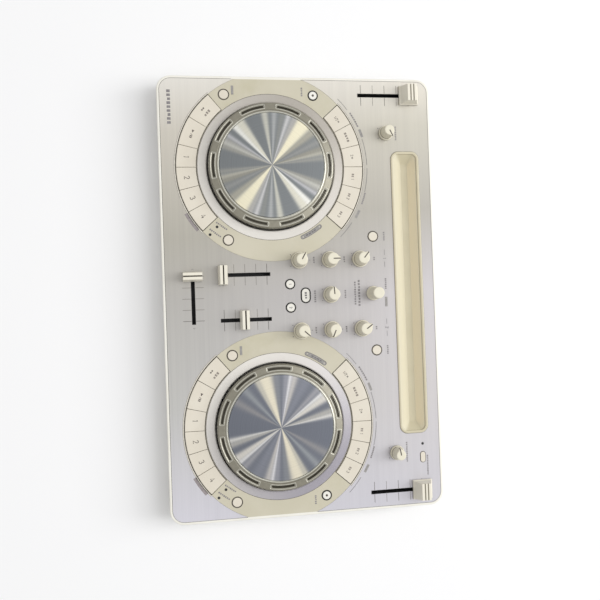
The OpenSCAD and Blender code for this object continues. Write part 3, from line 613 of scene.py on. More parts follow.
class Print(Shell):
    """Collects flat marks, in millimetres, and builds them as one thin layer of ink."""

    def polygon(self, points):
        """One filled outline, anticlockwise."""
        self.add(points, [range(len(points))])

    def line(self, points, width):
        """A stroke of even width along a path."""
        pts = np.asarray(points, float)
        steps = np.diff(pts, axis=0)
        steps /= np.linalg.norm(steps, axis=1)[:, None]
        ends = np.vstack([steps[:1], steps[:-1] + steps[1:], steps[-1:]])
        ends /= np.linalg.norm(ends, axis=1)[:, None]
        side = np.column_stack([-ends[:, 1], ends[:, 0]]) * width / 2
        left, right = pts + side, pts - side
        for i in range(len(pts) - 1):
            self.polygon([right[i], right[i + 1], left[i + 1], left[i]])

    def arc(self, centre, radius, start, stop, width):
        """A stroke along part of a circle, angles in degrees."""
        count = max(int(abs(stop - start) / 3) + 1, 2)
        self.line(polar(centre, radius, np.linspace(start, stop, count + 1)), width)

    def dot(self, centre, radius):
        """A filled circle."""
        self.polygon(polar(centre, radius, np.arange(0, 360, 22.5)))

    def half_dot(self, centre, radius, direction):
        """The half of a filled circle that lies on the side of a direction in degrees."""
        self.polygon(polar(centre, radius, np.linspace(direction - 90, direction + 90, 9)))

    def strokes(self, at, degrees, paths, width):
        """Strokes given about a point and turned."""
        for path in paths:
            self.line(turned(path, degrees) + at, width)

    def word(self, at, length, degrees=0.0, height=1.5, letters=4):
        """A generic label: one plain upright block where the real thing has a letter."""
        pitch = length / letters
        top = height / 2
        for index in range(letters):
            x = pitch * (index + 0.5) - length / 2
            half = pitch * (0.32 if index % 3 else 0.36)
            low = -top if index % 4 != 2 else -height * 0.3
            corners = [(x - half, low), (x + half, low), (x + half, top), (x - half, top)]
            self.polygon(turned(corners, degrees) + at)

    def build(self, name, mat, body, slot, height):
        """Makes the layer at a height above the table."""
        self.verts = [(x, y, height + LIFT) for x, y in self.verts]
        obj = self.make(name, [mat], body, slot)
        thick = obj.modifiers.new("ink", "SOLIDIFY")
        thick.thickness = PRINT_T * MM
        thick.offset = 1.0


# Strokes of the digits in a box 0.6 wide and 1 high, about its middle
DIGITS = {
    "1": [[(-0.15, 0.3), (0.05, 0.5), (0.05, -0.5)]],
    "2": [[(-0.25, 0.27), (-0.17, 0.44), (0, 0.5), (0.18, 0.44), (0.25, 0.27), (0.18, 0.08),
           (-0.27, -0.5), (0.28, -0.5)]],
    "3": [[(-0.24, 0.36), (-0.1, 0.49), (0.1, 0.48), (0.21, 0.34), (0.19, 0.14), (0, 0.04), (0.2, -0.06),
           (0.27, -0.26), (0.15, -0.45), (-0.05, -0.5), (-0.26, -0.4)]],
    "4": [[(0.12, -0.5), (0.12, 0.5), (-0.28, -0.2), (0.3, -0.2)]],
}


def digit(text, size):
    """The strokes of a digit at a size."""
    return [[(x * size, y * size) for x, y in path] for path in DIGITS[text]]


def shifted(paths, dx, dy=0.0):
    """Strokes moved by an offset."""
    return [[(x + dx, y + dy) for x, y in path] for path in paths]


# ---- Case ----


def rounded_loop(half, radius, inset):
    """Points round a rounded rectangle, anticlockwise."""
    r = max(radius - inset, 0.3)
    hx, hy = half[0] - inset - r, half[1] - inset - r
    corners = ((hx, hy), (-hx, hy), (-hx, -hy), (hx, -hy))
    return np.vstack([polar(c, r, np.linspace(90 * i, 90 * i + 90, 13)) for i, c in enumerate(corners)])


def rounding(radius, steps=6):
    """(inset, drop) pairs round a quarter circle, from the wall to the top."""
    angles = np.radians(np.linspace(0, 90, steps + 1))
    return [(radius - radius * math.cos(a), radius - radius * math.sin(a)) for a in angles]


def outline_distance(c):
    """How far inside the case's outline a point is, as a negative length."""
    q = np.abs(c[:2]) - CASE_HIGH[:2] + CORNER_R
    return math.hypot(*np.maximum(q, 0)) + min(max(q), 0) - CORNER_R


def near_deck(c):
    """True over a deck's moulded ring."""
    return min(math.hypot(c[0] - x, c[1] - y) for x, y in DECKS.values()) < DECK_R


def case_outline(step=2.0):
    """Points round the case, close enough together to follow the decks' edges."""
    corners = rounded_loop(CASE_HIGH, CORNER_R, 0.0)
    points = []
    for start, stop in zip(corners, np.roll(corners, -1, axis=0)):
        count = max(round(math.dist(start, stop) / step), 1)
        points += [start + (stop - start) * k / count for k in range(count)]
    return np.array(points)


def case_rim(mats):
    """The upper case's rim, with a rounded edge and a fine groove round the face sheet, whose faces away
    from the decks carry painted shade.
    """
    groove = RIM_W - 0.35
    profile = [(1.2, CASE_SPLIT_Z, 0), (0.15, CASE_SPLIT_Z, 0), (0.0, CASE_SPLIT_Z + 0.25, 0)]
    profile += [(inset, FACE - drop, 0) for inset, drop in rounding(1.0)]
    profile += [(groove - 0.12, FACE, 0), (groove, FACE, -0.12), (groove, FACE, -0.45),
                (RIM_W, FACE, -0.45), (RIM_W + 0.01, FACE, -0.45)]
    outline = case_outline()
    straight = CASE_HIGH[:2] - CORNER_R
    inward = (np.clip(outline, -straight, straight) - outline) / CORNER_R
    rim = Shell()
    for inset, z, sink in profile:
        points = outline + inward * inset
        rim.add([(*p, z if near_deck(p) else z + sink) for p in points], [])
    faces = grid_faces(len(profile), len(outline))
    groove_start = len(outline) * (len(profile) - 4)
    rim.faces = faces
    # Painted shade: the groove's faces away from the decks take the dark gap colour
    rim.kinds = [0] * groove_start + [0 if near_deck(rim.verts[f[0]]) else 1 for f in faces[groove_start:]]
    smooth(rim.make("top_case_rim", [mats["cream"], mats["gap"]], ROOT, "case_top"), 40)


def belongs_to_rim(c, normal):
    """True for a face of the CAD case that the rounded rim takes the place of."""
    distance = outline_distance(c)
    top = normal[2] > 0.9 and c[2] > FACE - 0.01 and distance > -RIM_W
    wall = abs(normal[2]) < 0.1 and distance > -0.1
    return top or wall


def case_decks(mats):
    """The rest of the upper case: the CAD cut off along the rim, black in the sliders' slots."""
    decks = bmesh.new()
    decks.from_mesh(frame["nodes"]["top_case"].data)
    for axis in (0, 1):
        for sign in (-1, 1):
            normal = Vector((0, 0, 0))
            normal[axis] = sign
            cut = normal * (CASE_HIGH[axis] - RIM_W) * MM
            geometry = decks.verts[:] + decks.edges[:] + decks.faces[:]
            bmesh.ops.bisect_plane(decks, geom=geometry, plane_co=cut, plane_no=normal)
    outer = [f for f in decks.faces if belongs_to_rim(np.array(f.calc_center_median()) / MM, f.normal)]
    bmesh.ops.delete(decks, geom=outer, context="FACES")
    mesh = bpy.data.meshes.new("top_case_decks")
    decks.to_mesh(mesh)
    decks.free()
    obj = link_object("top_case_decks", mesh, ROOT)
    paint(obj, mats["cream"], (mats["black"], in_slot))
    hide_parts("top_case")


SLIDERS = ["ch_a_fader", "ch_b_fader", "crossfader", "left_tempo_slider", "right_tempo_slider"]
SLOT_R = 1.45
SLOT_PAST_TRAVEL = 4.5


def slot_of(name):
    """Middle of a slider's slot, half of the slider's travel and its direction, from its joint."""
    joint = next(j for j in frame["joints"] if j["child"] == name)
    axis = np.array(joint["axis"][:2], float)
    start, stop = np.array(joint["range_m"]) / MM
    return centre_mm(name)[:2] + axis * (start + stop) / 2, (stop - start) / 2, axis


SLOTS = {name: slot_of(name) for name in SLIDERS}


def in_slot(c):
    """True on the inner walls of a slider's slot."""
    for middle, travel, axis in SLOTS.values():
        d = c[:2] - middle
        if abs(d @ axis) < travel + SLOT_PAST_TRAVEL and abs(d @ axis[::-1]) < SLOT_R:
            return c[2] < FACE - 0.01
    return False


def paint_case(mats):
    """Materials of the CAD nodes of the case that stay."""
    paint("face_plate", mats["sheet"], (mats["black"], in_slot))
    paint("bottom_case", mats["base"])
    paint("light_rings", mats["ring"])
    foot_top = box_mm("bottom_case")[0][2] + 0.01
    paint("screw_feet", mats["rubber"], (mats["steel"], lambda c: c[2] > foot_top))
    lower_board, upper_board = 7.6, 16.3
    part_top, socket_top, socket_y = 14.5, 15.8, 90
    paint("circuit_boards", mats["board"],
          (mats["part"], lambda c: c[2] > upper_board or lower_board < c[2] < part_top),
          (mats["tin"], lambda c: lower_board < c[2] < socket_top and abs(c[1]) > socket_y))


# ---- Tablet tray ----


def tray(mats):
    """The tray: a raised lip and a trough with a long front slope and a steep rear wall."""
    low, high = box_mm("tablet_tray")
    at, half = (low + high) / 2, (high - low) / 2
    top, lip = high[2], 2.5
    profile = [(0.0, FACE - 0.05), (0.0, top - 0.45), (0.15, top - 0.15), (0.5, top), (lip - 0.7, top),
               (lip - 0.25, top - 0.2), (lip, top - 0.6), (lip + 0.1, FACE - 1.2)]
    loops = [[(x, y, z) for x, y in rounded_loop(half, TRAY_CORNER_R, inset)] for inset, z in profile]
    count = len(loops[0])
    shell = Shell()
    shell.add(np.vstack(loops), grid_faces(len(loops), count))
    shell.kinds[-count:] = [1] * count
    columns, rows = 133, 45
    inner = half - lip
    grid = [(x, y, trough_height(x, y, inner)) for y in np.linspace(-inner[1], inner[1], rows)
            for x in np.linspace(-inner[0], inner[0], columns)]
    starts = [i * columns + j for i in range(rows - 1) for j in range(columns - 1)]
    shell.add(grid, [(a, a + 1, a + columns + 1, a + columns) for a in starts])
    shell.verts = np.array(shell.verts) + (at[0], at[1], 0)
    obj = shell.make("tablet_tray_moulding", [mats["tray"], mats["tray_edge"]], ROOT, "tray_plastic")
    smooth(obj, 50)
    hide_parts("tablet_tray")


def trough_height(x, y, half):
    """Height of the trough's surface at a point about the tray's middle."""
    depth = 8.0
    front = max(-2.0 - y, 0) / (half[1] - 2.4)
    rear = max(y - 4.6, 0) / (half[1] - 5.6)
    end = max(abs(x) - (half[0] - 8.5), 0) / 8.5
    rise = (front ** 3 + rear ** 3 + end ** 3) ** (1 / 3)
    return FACE - depth + (depth - 0.4) * min(rise, 1.0) ** 1.1


# ---- Jog wheels ----

DISC_R = 47.8
POCKETS = 10
POCKET_HALF_ANGLE = 12.6
POCKET_MIDDLE_R = 53.6
FIRST_POCKET = {"left": 90, "right": 108}


def round_box(u, v, half_u, half_v, radius):
    """Signed distance to a rounded rectangle, negative inside."""
    qu, qv = np.abs(u) - half_u + radius, np.abs(v) - half_v + radius
    outside = np.hypot(np.maximum(qu, 0), np.maximum(qv, 0))
    return outside + np.minimum(np.maximum(qu, qv), 0) - radius


def jog_wheel(side, mats):
    """A wheel: hub, web, knurled skirt and a rim with finger pockets."""
    steps = 1440
    teeth = 288
    disc_z = JOG_TOP - 1.25
    rim_z = disc_z + 0.65
    low = FACE - 1.2
    rim = [(48.2, -0.75), (48.3, -0.2), (48.5, 0.05), (48.9, 0.05), (49.15, -0.2), (49.5, -0.28),
           (50.2, -0.32), (50.35, -0.45), (50.5, -0.45), (50.65, -0.34)]
    band = [(r, -0.34 - 0.14 * (r - 50.65)) for r in np.arange(50.9, 56.31, 0.18)]
    edge = [(56.6, -1.35), (56.9, -1.7), (57.15, -2.1), (JOG_R, -2.6)]
    skirt = [(JOG_R, z) for z in np.linspace(rim_z - 3.1, low + 0.3, 12)]
    inside = [(JOG_R - 0.2, low), (JOG_R - 2, low), (JOG_R - 2, disc_z - 5), (7, disc_z - 5), (7, 14.4),
              (3.05, 14.4), (3.05, disc_z - 0.1)]
    rows = [(r, rim_z + z) for r, z in rim + band + edge] + skirt + inside
    tones = np.full((len(rows), steps), 0.5)
    first_band, last_band = len(rim), len(rim) + len(band)
    first_skirt, last_skirt = last_band + 1, last_band + len(edge) + len(skirt)

    # Painted light in the tone: a highlight on the raised inner edge, shade in the groove behind it, light
    # and shade across the knurl's teeth, and darker faces inside the wheel
    def shape(index, angles, r, z):
        if index < 5:
            tones[index] = 0.85
        elif 6 < index < 9:
            tones[index] = 0.33
        if first_band <= index < last_band:
            z = z + pocket_relief(r[0], angles, side, tones[index])
        if first_skirt <= index < last_skirt:
            slant = (rows[index][1] - low) * 0.1
            phase = angles * teeth + slant * 4.5
            r = r + 0.22 * np.sin(phase) - 0.1
            tones[index] = 0.5 + 0.28 * np.sin(phase)
        if index >= last_skirt:
            tones[index] = 0.2
        return r, z

    verts = revolve(rows, steps, shape)
    faces = grid_faces(len(rows), steps, wrap_rows=True)
    body = side + "_jog_wheel"
    at = (*DECKS[side], 0)
    obj = make_object(body + "_rim", verts, faces, [mats["jog"]], body, location=at)
    attribute = obj.data.attributes.new("tone", "FLOAT", "POINT")
    attribute.data.foreach_set("value", tones.ravel().astype(np.float32))
    smooth(obj, 60)
    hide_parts(body)


def pocket_relief(radius, angles, side, tone):
    """Height added to the rim at a radius; sets the tone of the surface there, with a painted highlight on
    each pocket's bead and painted shade in its slot.
    """
    spacing = 360 / POCKETS
    around = np.degrees(angles) - FIRST_POCKET[side]
    offset = (around + spacing / 2) % spacing - spacing / 2
    u = np.radians(offset) * POCKET_MIDDLE_R
    half_u = math.radians(POCKET_HALF_ANGLE) * POCKET_MIDDLE_R
    outline = round_box(u, radius - POCKET_MIDDLE_R, half_u, 2.0, 0.9)
    slot = round_box(u, radius - POCKET_MIDDLE_R + 0.15, half_u - 1.5, 0.85, 0.4)
    bead = np.clip(1 - np.abs(outline) / 0.38, 0, 1)
    floor = np.clip(-outline / 0.5 - 0.4, 0, 1)
    hollow = np.clip(0.5 - slot / 0.3, 0, 1)
    # Painted highlight on the bead, and painted shade in the slot
    tone += 0.42 * bead + 0.05 * floor
    tone *= 1 - hollow * 0.62
    return 0.16 * bead - 0.35 * floor - 1.3 * hollow


def jog_disc(side):
    """The spun disc on top of a wheel, with a chamfered edge."""
    top, base = JOG_TOP, JOG_TOP - 1.2
    rows = [(3.2, base), (DISC_R, base), (DISC_R, top - 0.5), (DISC_R - 0.15, top - 0.25),
            (DISC_R - 0.5, top)]
    rows += [(r, top) for r in (40, 30, 20, 12, 6, 3, 1.5, 0.6)]
    steps = 256
    disc = Shell()
    disc.add(revolve(rows, steps), capped_faces(rows, steps))
    body = side + "_jog_wheel"
    smooth(disc.make(body + "_disc", [spun_disc(side)], body, "jog_metal", (*DECKS[side], 0)), 30)


def shaft(bottom, top, core, steps):
    """Points and faces of a 6 mm shaft, hollow to the core radius, with a chamfered lower end."""
    rows = [(core, bottom), (2.7, bottom), (3.0, bottom + 0.3), (3.0, top), (core, top)]
    return revolve(rows, steps), grid_faces(len(rows), steps, wrap_rows=True)


def jog_shaft(side, mats):
    """The steel shaft and the slotted encoder disc under a wheel."""
    steps = 144
    slots = 36

    def notched(index, angles, r, z):
        if index in (1, 2):
            r = np.where(np.sin(angles * slots) > 0, r, r - 3.5)
        return r, z

    encoder = [(7.1, 20.2), (40, 20.2), (40, 21.2), (7.1, 21.2)]
    shell = Shell()
    shell.add(revolve(encoder, steps, notched), grid_faces(4, steps, wrap_rows=True))
    shell.add(*shaft(6.1, JOG_TOP - 1.4, 0.5, steps), 1)
    body = side + "_jog_wheel"
    obj = shell.make(body + "_shaft", [mats["part"], mats["steel"]], body, "jog_metal", (*DECKS[side], 0))
    smooth(obj, 40)


# ---- Knobs ----

KNOBS = [f"ch_{channel}_{band}_knob" for channel in "ab" for band in ("high", "mid", "low")]
KNOBS += ["phones_knob", "mic_knob", "master_knob", "browse_knob"]


def pointer_angle(name):
    """How far a knob's pointer is turned from the rear, anticlockwise, from its joint's range."""
    joint = next(j for j in frame["joints"] if j["child"] == name)
    if joint.get("continuous"):
        return None
    start, stop = joint["range_deg"]
    return -(start + stop) / 2


def nose_radius(angles, r):
    """Distance from the axis to the nose's outline, which points along +Y, and 0 where it has none."""
    root, bend, tip, tip_half = 0.36 * r, 0.4 * r, 0.87 * r, 0.15 * r
    s, c = np.abs(np.cos(angles)), np.sin(angles)
    with np.errstate(divide="ignore", invalid="ignore"):
        end = np.where(c > 0, tip / c, 0)
        slope = (tip_half - root) / (tip - bend)
        flank = (root - slope * bend) / (s - slope * c)
    reach = np.where(c > 0.2, np.minimum(end, flank), 0)
    return np.where((c > 0.2) & (reach > 0), reach, 0)


def pointer_line(r, top):
    """Points and faces of the line that is printed along a pointer's nose and down its tip."""
    half, lift = 0.5, 0.04
    tip = 0.87 * r + lift
    path = [(0.0, top + lift), (tip - 0.45, top + lift), (tip - 0.15, top - 0.12), (tip, top - 0.4),
            (tip, top - 5.5)]
    points = [(x, y, z) for y, z in path for x in (-half, half)]
    return points, [(2 * i, 2 * i + 1, 2 * i + 3, 2 * i + 2) for i in range(len(path) - 1)]


def knob(name, mats):
    """A knob: skirt, tapering body with a pointer nose and its printed line, and the shaft below."""
    low, high = box_mm(name)
    r, top = (high[0] - low[0]) / 2, high[2]
    base = FACE + 0.6
    angle = pointer_angle(name)
    pointed = angle is not None
    ledge = base + 2.4
    neck, crown = r * 0.85, r * (0.68 if pointed else 0.78)
    skirt = [(3.1, base), (r - 0.15, base), (r, base + 0.2), (r - 0.12, ledge - 0.35),
             (r - 0.3, ledge - 0.05), (r - 0.55, ledge + 0.05), (neck + 0.25, ledge + 0.15),
             (neck, ledge + 0.6)]
    shares = np.linspace(0.1, 1, 8)
    body = [(neck + (crown - neck) * t, ledge + 0.6 + (top - ledge - 1.2) * t) for t in shares]
    crest = [(crown - 0.08, top - 0.28), (crown - 0.3, top - 0.08), (crown - 0.6, top)]
    crest += [(crown * share, top) for share in (0.6, 0.3, 0.05)]
    rows = skirt + body + crest
    steps = 144

    def shape(index, angles, radius, z):
        if pointed and index >= len(skirt) - 1:
            shrink = radius / crown if index >= len(skirt) + len(body) else 1.0
            nose = nose_radius(angles, r) * shrink
            radius = (radius ** 14 + nose ** 14) ** (1 / 14)
        return radius, z

    shell = Shell()
    shell.add(revolve(rows, steps, shape), capped_faces(rows, steps))
    if pointed:
        for row in (len(skirt) - 2, len(skirt) - 1):
            shell.kinds[row * steps:(row + 1) * steps] = [3] * steps
    shell.add(*shaft(17.9, top - 3.2, 0.4, 48), 1)
    if pointed:
        shell.add(*pointer_line(r, top), 2)
    shell.verts = np.array(shell.verts)
    shell.verts[:, :2] = turned(shell.verts[:, :2], angle or 0)
    kinds = [mats["knob"], mats["steel"], mats["pointer"], mats["ridge_shade"]]
    obj = shell.make(name + "_moulding", kinds, name, "knob_plastic", (*centre_mm(name)[:2], 0))
    smooth(obj, 45)
    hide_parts(name)


# ---- Sliders ----


def slider(name, mats):
    """A slider's cap with rounded edges and darker grooves across its crest."""
    tempo = "tempo" in name
    groove_half = 0.6
    groove_at = 1.45 if tempo else 0.0
    obj = softened(name, 0.7 if tempo else 0.45, mats["cap"])
    at, top = centre_mm(name)[:2], box_mm(name)[1][2]
    axis = SLOTS[name][2]

    def in_groove(c):
        off = abs(abs((c[:2] - at) @ axis) - groove_at)
        return off < groove_half and top - 2.0 < c[2] < top - 0.1

    paint(obj, mats["cap"], (mats["ridge_shade" if tempo else "groove"], in_groove))


# ---- Keys ----


def paint_keys(mats):
    """Materials of the keys: plain ones, and lit ones with a black collar."""
    for name in frame["nodes"]:
        if name.endswith(("sync_key", "monitor_key", "select_key")):
            paint(name, mats["lit_key"], (mats["collar"], collar_test(name)))
        elif name.endswith("_key"):
            paint(name, mats["key"])


def collar_test(name):
    """A test for the faces of the collar round a lit key's cap."""
    low, high = box_mm(name)
    at, half = (low + high)[:2] / 2, (high - low)[:2] / 2
    straight = half[0] - half[1]
    flange = 1.4 if straight > 0.01 else 1.0
    cap_r = half[1] - flange - 0.78
    level = high[2] - 3.7

    def test(c):
        d = np.abs(c[:2] - at)
        return math.hypot(max(d[0] - straight, 0), d[1]) > cap_r and c[2] > level
    return test


def key_points(side, name):
    """The points of a deck's key about the deck's axis, in millimetres."""
    verts = np.array([v.co for v in frame["nodes"][side + "_" + name].data.vertices]) / MM
    return verts - (*DECKS[side], 0)


# ---- Legends ----


def arc_key_legends(side, mats):
    """What is printed on each arc key."""
    for name in FRONT_KEYS + REAR_KEYS:
        x, y, _ = key_points(side, name).mean(0)
        layers = {"legend": Print(), "label": Print()}
        print_key(name, DECKS[side], math.degrees(math.atan2(y, x)), **layers)
        node = side + "_" + name
        for kind, layer in layers.items():
            if layer.faces:
                layer.build(node + "_" + kind, mats["key_" + kind], node, "key_plastic", key_top(node))


def print_key(name, deck, angle, legend, label):
    """The print of one arc key at an angle: digits and signs, and generic blocks in place of words."""
    at = polar(deck, KEY_MIDDLE_R, angle)
    turn = angle - 90 if angle > 0 else angle + 90
    slim = 0.4
    if name in PAD_KEYS:
        legend.strokes(at, turn, digit(name[4], 4.6), 0.62)
    elif name == "play_key":
        legend.strokes(at, turn, [[(0.0, -1.1), (1.0, 1.1)]], slim)
        legend.strokes(at, turn, [[(2.0, 1.1), (2.0, -1.1)], [(3.4, 1.1), (3.4, -1.1)]], 0.9)
        legend.polygon(turned([(-3.7, 1.2), (-3.7, -1.2), (-1.1, 0.0)], turn) + at)
    elif name == "cue_key":
        label.word(polar(at, -2.2, angle), 7.4, turn, 2.3, 3)
        legend.strokes(polar(at, 3.0, angle), turn, [[(-1.7, 0), (-0.3, 0)], [(0.3, 0), (1.7, 0)]], 1.3)
    elif name == "loop_half_key":
        half = shifted(digit("1", 2.4), -2.6) + [[(-1.7, -1.2), (-0.8, 1.2)]] + shifted(digit("2", 2.4), 0.3)
        legend.strokes(at, turn, half + times_sign(2.7), slim)
    elif name == "loop_double_key":
        legend.strokes(at, turn, shifted(digit("2", 2.4), -1.2) + times_sign(1.2), slim)
    elif name == "loop_key":
        label.word(at, 9.6, turn, 2.2, 4)
    else:
        label.word(polar(at, -1.3, turn), 3.6, turn, 2.2, 2)
        legend.strokes(at, turn, shifted(digit(name[3], 2.4), 2.3), slim)


def key_top(node):
    """Height of a key's top face."""
    return box_mm(node)[1][2]


def times_sign(dx, size=0.75):
    """The strokes of a multiplication sign."""
    return [[(dx - size, -size), (dx + size, size)], [(dx - size, size), (dx + size, -size)]]


def round_key_legends(mats):
    """Small marks on the lit keys."""
    for node in ("ch_a_monitor_key", "ch_b_monitor_key", "left_sync_key", "right_sync_key", "select_key"):
        at = centre_mm(node)[:2]
        marks = Print()
        if "sync" in node:
            marks.dot(at, 1.1)
        elif "monitor" in node:
            marks.strokes(at, 0, digit("1" if "ch_a" in node else "2", 2.2), 0.5)
        else:
            marks.word(at, 6.6, 0, 1.9, 3)
        mat = mats["pointer" if "sync" in node else "legend"]
        marks.build(node + "_legend", mat, node, "lit_key_plastic", key_top(node))


def tray_surround(inks):
    """The dark gap round the tablet tray's lip."""
    low, high = box_mm("tablet_tray")
    loop = rounded_loop((high - low) / 2 + 0.15, TRAY_CORNER_R, 0.0) + (low + high)[:2] / 2
    inks["gap"].line(np.vstack([loop, loop[:1]]), 0.3)


def key_surrounds(inks):
    """The dark gap that shows round each plain key that stands alone."""
    gap = inks["gap"]
    for name in frame["nodes"]:
        if name.endswith(("shift_key", "mode_key", "load_key")):
            gap.arc(centre_mm(name)[:2], 4.85, 0, 360, 0.7)
    low, high = box_mm("standby_key")
    at, half = (low + high)[:2] / 2, (high - low)[:2] / 2
    flange = 1.4
    radius, straight = half[1] - flange + 0.35, half[0] - half[1]
    for sign in (-1, 1):
        start = -90 * sign
        gap.arc(at + (sign * straight, 0), radius, start, start + 180, 0.5)
        gap.line([at + (-straight, sign * radius), at + (straight, sign * radius)], 0.5)


def sweep_arrow(side, inks):
    """The long capsule on the mixer side: an outline, a grey filling, dark bars and a dot at each end."""
    deck = DECKS[side]
    box, mark, pale = inks["box"], inks["mark"], inks["pale"]
    middle = 90 + SIDES[side] * 59.5
    radius, half_length, half_width = 70.3, 11.2, 1.75
    straight = math.degrees((half_length - half_width) / radius)
    box.arc(deck, radius, middle - straight, middle + straight, 2 * half_width - 0.3)
    for offset in (-half_width, half_width):
        mark.arc(deck, radius + offset, middle - straight, middle + straight, 0.4)
    for sign in (-1, 1):
        end = polar(deck, radius, middle + sign * straight)
        outward = middle + sign * 90
        box.half_dot(end, half_width - 0.15, outward)
        mark.arc(end, half_width, outward - 90, outward + 90, 0.4)
        pale.dot(polar(deck, radius, middle + sign * (straight - 0.4)), 0.55)
    for start, stop in ((-4.8, -3.3), (-2.6, -0.6), (0.2, 1.4), (2.1, 3.8)):
        mark.arc(deck, radius, middle + start, middle + stop, 1.1)


def gap_lines(side, inks):
    """Shadow lines where the moulded parts of a deck meet, and the pale edge beyond the arc keys."""
    deck = DECKS[side]
    gap = inks["gap"]
    inner, outer = 67.55, 86.62
    gap.arc(deck, RING_R + 0.12, 0, 360, 0.3)
    for start, stop in arc_spans(side):
        for radius in (inner, outer):
            gap.arc(deck, radius, start - 0.3, stop + 0.3, 0.25)
        inks["rim"].arc(deck, 87.12, start - 0.6, stop + 0.6, 0.75)
        inks["soft"].arc(deck, 87.68, start - 1, stop + 1, 0.3)
        for angle in (start - 0.12, stop + 0.12):
            gap.line([polar(deck, inner, angle), polar(deck, outer, angle)], 0.25)


def arc_spans(side):
    """First and last angle of each arc of keys on a deck."""
    spans = []
    for names in (FRONT_KEYS, REAR_KEYS):
        points = np.vstack([key_points(side, name) for name in names])
        x, y, _ = points[points[:, 2] > FACE + 0.1].T
        angles = np.degrees(np.arctan2(y, x)) % 360
        spans.append((angles.min(), angles.max()))
    return spans


def deck_marks(side, inks):
    """Lines and labels round one deck."""
    deck = DECKS[side]
    marks, labels, boxes = inks["mark"], inks["label"], inks["box"]
    # Bracket lines behind the rear keys
    for start, stop in ((134.5, 126), (107, 91), (89.2, 75), (55, 44)):
        marks.arc(deck, 90.6, start, stop, 0.35)
    for middle, length in ((119, 15), (71, 11)):
        curved_dashes(labels, deck, 91.2, middle, length)
    boxes.arc(deck, 91.4, 112.6, 107.8, 2.3)
    boxes.arc(deck, 91.4, 63.6, 58.6, 2.3)
    # Grey tab in front of the last pad
    inks["tab"].arc(deck, 88.8, 298, 310, 3.0)
    # Labels by the round keys
    labels.word(deck + (SIDES[side] * 69.5, 30.8), 8.5, 0, 1.5, 5)
    boxes.line([deck + (-74.4, -33.2), deck + (-66.2, -33.2)], 2.2)
    labels.word(deck + (53.3, -46.9), 12.2, 53.5, 1.5, 7)
    labels.word(deck + (59.6, -52.8), 12.8, 52.5, 1.5, 7)


def curved_dashes(marks, centre, radius, middle, length, pieces=7):
    """A dashed label along an arc; length is in millimetres."""
    whole = math.degrees(length / radius)
    gap = whole * 0.035
    piece = (whole - gap * (pieces - 1)) / pieces
    for i in range(pieces):
        start = middle + whole / 2 - i * (piece + gap)
        marks.arc(centre, radius, start, start - piece, 1.4)


def slider_ticks(inks):
    """Scale lines beside each slider."""
    near, far = 2.0, 9.6
    for name, (middle, travel, axis) in SLOTS.items():
        across = axis[::-1]
        for i in range(5):
            at = middle + axis * travel * (i - 2) / 2
            bold = i in (0, 4) or ("tempo" in name and i == 2)
            layer, width = (inks["tick"], 0.4) if bold else (inks["fine"], 0.36)
            for sign in (-1, 1):
                layer.line([at + across * sign * near, at + across * sign * far], width)


def slot_edges(inks):
    """The black edge of each slider's slot, square round the slot's round ends."""
    edge, hole, past_travel = 0.4, 1.35, 3.0
    wide = hole + edge
    bends = polar((0, 0), hole, np.arange(75, -1, -15))
    for middle, travel, axis in SLOTS.values():
        across = axis[::-1]
        stop = travel + past_travel
        straight = stop - hole
        outline = [(straight, wide), (straight, hole), *(bends + (straight, 0))]
        outline += [(stop + 0.2, 0), (stop + 0.2, wide)]
        for sign in (-1, 1):
            side = middle + across * sign * (wide - edge / 2)
            inks["slot"].line([side - axis * straight, side + axis * straight], edge)
            for end in (-1, 1):
                corner = [middle + axis * end * u + across * sign * v for u, v in outline]
                inks["slot"].polygon(corner)


def knob_marks(inks):
    """End dots, and labels above each knob."""
    words = {"high": (3.6, 2), "mid": (6.0, 3), "low": (6.4, 3), "phones": (8.0, 5), "mic": (13.5, 8),
             "master": (19.0, 11)}
    for name in KNOBS:
        if pointer_angle(name) is None:
            continue
        at = centre_mm(name)[:2]
        key = next(k for k in words if k + "_knob" in name)
        small = key in ("mic", "master")
        for angle in (237, 303):
            inks["mark"].dot(polar(at, 8.6 if small else 9.6, angle), 0.42)
        width, letters = words[key]
        inks["label"].word(at + (0, 9.8 if small else 13.6), width, 0, 1.4, letters)
        if key in ("mid", "low"):
            inks["mark"].dot(at + (0, 9.8), 0.4)


def mixer_marks(inks):
    """Labels over the two channels, the browse knob and the load keys."""
    marks, labels, boxes = inks["mark"], inks["label"], inks["box"]
    for x, text in ((-32.4, "1"), (32.4, "2")):
        marks.strokes((x, 78.1), 0, digit(text, 2.6), 0.42)
        for sign in (-1, 1):
            marks.line([(x + sign * 3.2, 78.1), (x + sign * 8.2, 78.1)], 0.3)
    boxes.line([(3.8, 78.3), (12.8, 78.3)], 2.4)
    # Middle, width, height and letters of each label
    for x, y, width, height, letters in (
            (-53.2, 78.1, 8.6, 1.5, 5), (53.2, 78.1, 8.6, 1.5, 5), (-8.6, 78.3, 10.5, 1.6, 6),
            (-0.6, 52.4, 25.0, 1.9, 9), (-0.6, 48.6, 22.0, 1.5, 10), (1.2, 10.6, 11.5, 1.6, 6),
            (163.5, 113.0, 19.0, 1.4, 12), (-173.0, -117.0, 32.0, 3.2, 9)):
        labels.word((x, y), width, 0, height, letters)
    for sign in (-1, 1):
        x = sign * 26.5
        marks.line([(x - sign * 0.4, -99.9), (x + sign * 0.5, -100.7), (x - sign * 0.4, -101.5)], 0.3)


